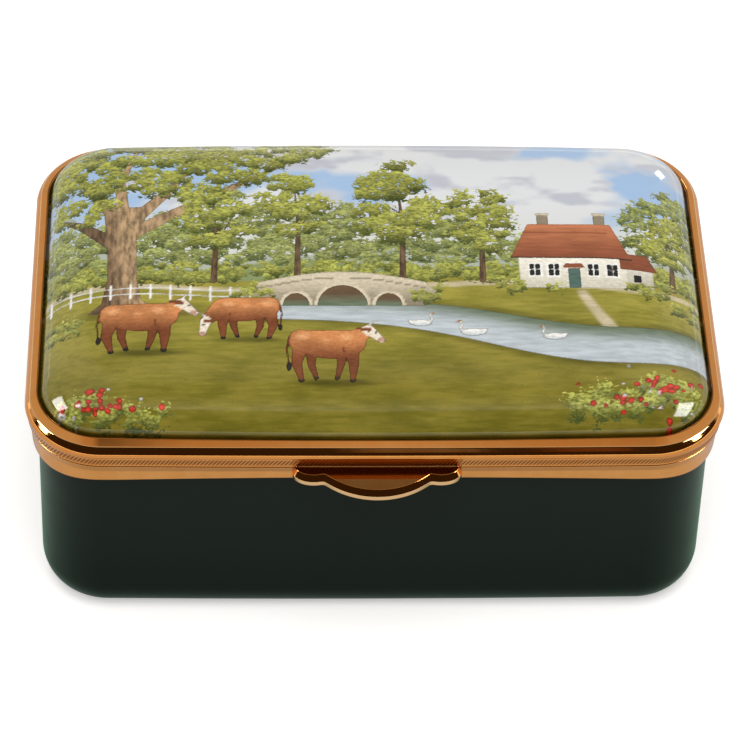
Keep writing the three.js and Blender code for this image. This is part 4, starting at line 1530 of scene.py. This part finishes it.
SURROUND = (0.60, 0.57, 0.52)
CEILING = (0.50, 0.40, 0.28)
FRONT_DARK = (0.034, 0.022, 0.010)
FRONT_STRIP = (0.95, 0.86, 0.70)
OVERHEAD = (0.10, 0.08, 0.055)
BACK_DIM = (0.17, 0.17, 0.17)
SKY_STEPS = (180, 91)
SKY_DISTANCE = 0.90
# Each area of the sky fades between two angles, in degrees: round the box or up from the floor
FRONT_SIDES = (98, 106)
CEILING_FOOT = (68, 76)
OVERHEAD_FOOT = (77, 84)
STRIP_SIDES = (50, 85)
BACK_SIDES = (138, 150)
BACK_FOOT = (14, 24)
BACK_TOP = (58, 84)
# The strip's lower edge sinks towards the sides
STRIP_LEVEL = 63
STRIP_SINK = 20
STRIP_SINK_SIDES = (55, 92)
STRIP_FOOT = (0, 1)
STRIP_TOP = (3, 9)
DARK_TOP = (-0.5, 1)


def make_sky_card():
    """A dome round the box: dark in front, a bright strip, a warm ceiling, dim at the back."""
    azimuth, elevation = np.meshgrid(
        np.linspace(-180, 180, SKY_STEPS[0] + 1), np.linspace(-1, 90, SKY_STEPS[1] + 1))
    points = [CAMERA_TARGET + direction(a, e) * SKY_DISTANCE
              for a, e in zip(azimuth.flat, elevation.flat)]
    turn = np.abs(azimuth)
    front = 1 - ease(turn, *FRONT_SIDES)
    colours = blend(np.array(SURROUND), CEILING, ease(elevation, *CEILING_FOOT))
    colours = blend(colours, OVERHEAD, ease(elevation, *OVERHEAD_FOOT))
    above = elevation - STRIP_LEVEL + STRIP_SINK * ease(turn, *STRIP_SINK_SIDES)
    strip = front * ease(above, *STRIP_FOOT) * (1 - ease(above, *STRIP_TOP))
    colours = blend(colours, FRONT_STRIP, strip * (1 - ease(turn, *STRIP_SIDES)))
    colours = blend(colours, FRONT_DARK, front * (1 - ease(above, *DARK_TOP)))
    back = ease(turn, *BACK_SIDES) * ease(elevation, *BACK_FOOT) * (1 - ease(elevation, *BACK_TOP))
    colours = blend(colours, BACK_DIM, back)
    faces = grid_quads(SKY_STEPS[1] + 1, SKY_STEPS[0] + 1, False, False)
    make_card("sky_card", points, faces.tolist(), colours)


GEAR_DISTANCE = 0.85
GEAR_ELEVATIONS = (26, 50)
# Studio gear that the steep facet mirrors: the azimuths of its sides and its colour
GEAR = {
    "camera_card": ((1.6, 6.0), (0.16, 0.13, 0.10)),
    "warm_card": ((8.4, 11.2), (0.13, 0.06, 0.03)),
}


def make_gear_card(name, azimuths, colour):
    points = [CAMERA_TARGET + direction(a, e) * GEAR_DISTANCE
              for e in GEAR_ELEVATIONS for a in azimuths]
    make_card(name, points, [(0, 1, 3, 2)], [colour] * 4)


SOFTBOX_DISTANCE = 0.7
SOFTBOX_GLOW = 14.0
SOFTBOX_EDGE = 0.2
SOFTBOX_PROFILE = ((-1, 0.0), (-0.86, 1.0), (0.86, 1.0), (1, 0.0))
# Azimuth, elevation, width, height and roll in degrees, as seen from the box
SOFTBOXES = {
    "left_softbox": (-88, 25, 20, 28, 0),
    "right_softbox": (74, 30, 28, 27, 25),
    "back_softbox": (147, 16, 7, 7, 0),
}


def make_softbox(name, azimuth, elevation, width, height, roll):
    """A flat card that faces the box and fades at its edges."""
    out = direction(azimuth, elevation)
    side = Vector((0, 0, 1)).cross(out).normalized()
    up = out.cross(side)
    turn = math.radians(roll)
    across = side * math.cos(turn) + up * math.sin(turn)
    along = up * math.cos(turn) - side * math.sin(turn)
    half_width = SOFTBOX_DISTANCE * math.tan(math.radians(width / 2))
    half_height = SOFTBOX_DISTANCE * math.tan(math.radians(height / 2))
    centre = CAMERA_TARGET + out * SOFTBOX_DISTANCE
    points = [centre + across * half_width * u + along * half_height * v
              for v, _ in SOFTBOX_PROFILE for u, _ in SOFTBOX_PROFILE]
    glow = [[SOFTBOX_GLOW * (SOFTBOX_EDGE + (1 - SOFTBOX_EDGE) * one * two)] * 3
            for _, one in SOFTBOX_PROFILE for _, two in SOFTBOX_PROFILE]
    make_card(name, points, grid_quads(4, 4, False, False).tolist(), glow)


FLOOR_CARD_REACHES = np.array([-10, 0, 4, 8, 12, 16, 20, 26, 34, 45, 60, 100, 300]) * MM
FLOOR_CARD_LIFT = 0.03 * MM
FLOOR_SHADOW_LEVEL = 0.34
FLOOR_CARD_GAIN = 0.34
FLOOR_SHADOW_FADE = 24 * MM


def make_floor_card():
    """The floor as reflections see it, with a painted shadow of the box that is darkest against it."""
    rows = [(-reach, FLOOR_CARD_LIFT, 0) for reach in FLOOR_CARD_REACHES]
    points = ring_points(rows, RING_POSITIONS)
    # Painted shadow of the box, darkest against it and paler further out
    level = FLOOR_SHADOW_LEVEL + FLOOR_CARD_GAIN * ease(FLOOR_CARD_REACHES, 0, FLOOR_SHADOW_FADE)
    colours = level[:, None, None] * np.ones((1, len(RING_POSITIONS), 3))
    faces = grid_quads(points.shape[0], points.shape[1], False, True)
    make_card("floor_card", points, faces.tolist(), colours)


LAMP_ELEVATION = 80
LAMP_DISTANCE = 1.4
LAMP_SIZE = 1.2
LAMP_POWER = 15.0


def make_top_lamp():
    """A soft lamp that isn't seen in reflections."""
    data = bpy.data.lights.new("top_lamp", "AREA")
    data.shape = "RECTANGLE"
    data.size = LAMP_SIZE
    data.size_y = LAMP_SIZE
    data.energy = LAMP_POWER
    lamp = link("top_lamp", data)
    out = direction(0, LAMP_ELEVATION)
    turn = out.to_track_quat("Z", "Y").to_matrix().to_4x4()
    lamp.matrix_world = Matrix.Translation(CAMERA_TARGET + out * LAMP_DISTANCE) @ turn
    lamp.visible_glossy = False
    lamp.visible_camera = False


def sees_background(shader):
    """1 for camera, glossy and transmission rays, 0 for the rest."""
    path = shader.add("LightPath")
    seen = shader.math("MAXIMUM", path.outputs["Is Camera Ray"], path.outputs["Is Glossy Ray"])
    return shader.math("MAXIMUM", seen, path.outputs["Is Transmission Ray"])


FLOOR_RADIUS = 4.0
FLOOR_SIDES = 64
FLOOR_DROP = 0.02 * MM
FLOOR_WHITE = 0.80
FLOOR_GLOW = 0.42


def make_floor():
    """A round white floor that glows a little where the background is seen."""
    angles = np.linspace(0, 2 * math.pi, FLOOR_SIDES, endpoint=False)
    mesh = bpy.data.meshes.new("floor")
    points = [(FLOOR_RADIUS * math.cos(a), FLOOR_RADIUS * math.sin(a), 0) for a in angles]
    mesh.from_pydata(points, [], [tuple(range(len(points)))])
    shader = Shader("floor")
    diffuse = shader.add("BsdfDiffuse", {"Color": grey(FLOOR_WHITE)}).outputs[0]
    glow = shader.math("MULTIPLY", sees_background(shader), FLOOR_GLOW)
    emitted = shader.add("Emission", {"Color": grey(1), "Strength": glow}).outputs[0]
    both = shader.add("AddShader", {0: diffuse, 1: emitted})
    mesh.materials.append(shader.finish(both.outputs[0]))
    floor = link("floor", mesh)
    floor.location.z = -FLOOR_DROP


def make_world():
    """An even surround, white where it is seen directly, mirrored or through glass."""
    world = bpy.data.worlds.new("studio")
    bpy.context.scene.world = world
    shader = Shader("studio", world)
    colour = shader.mix(sees_background(shader), rgba(*SURROUND), grey(1))
    shader.finish(shader.add("Background", {"Color": colour}).outputs[0], "OutputWorld")


make_camera()
bpy.context.scene.view_settings.view_transform = "Standard"
make_world()
make_floor()
make_top_lamp()
make_floor_card()
make_sky_card()
for card, gear in GEAR.items():
    make_gear_card(card, *gear)
for card, place in SOFTBOXES.items():
    make_softbox(card, *place)

POLISHED = make_gilt("polished_gilt", *POLISHED_GILT)
SATIN = make_gilt("satin_gilt", *SATIN_GILT)
WHITE = make_white_enamel()
make_pan(make_green_enamel(), WHITE)
make_base_mount(SATIN)
make_base_collar(SATIN)
make_lid_mount(POLISHED)
make_lid_inner_rim(SATIN)
panel, panel_points = make_lid_panel(make_painting(), WHITE)
paint(panel, panel_points)
make_thumbpiece(POLISHED)
make_solder_line(SATIN)
for knuckle in ("base_knuckle_left", "base_knuckle_centre", "base_knuckle_right"):
    make_knuckle(knuckle, -1, SATIN, "base")
for knuckle in ("lid_knuckle_left", "lid_knuckle_right"):
    make_knuckle(knuckle, 1, SATIN, "lid")
make_hinge_pin(make_brass())
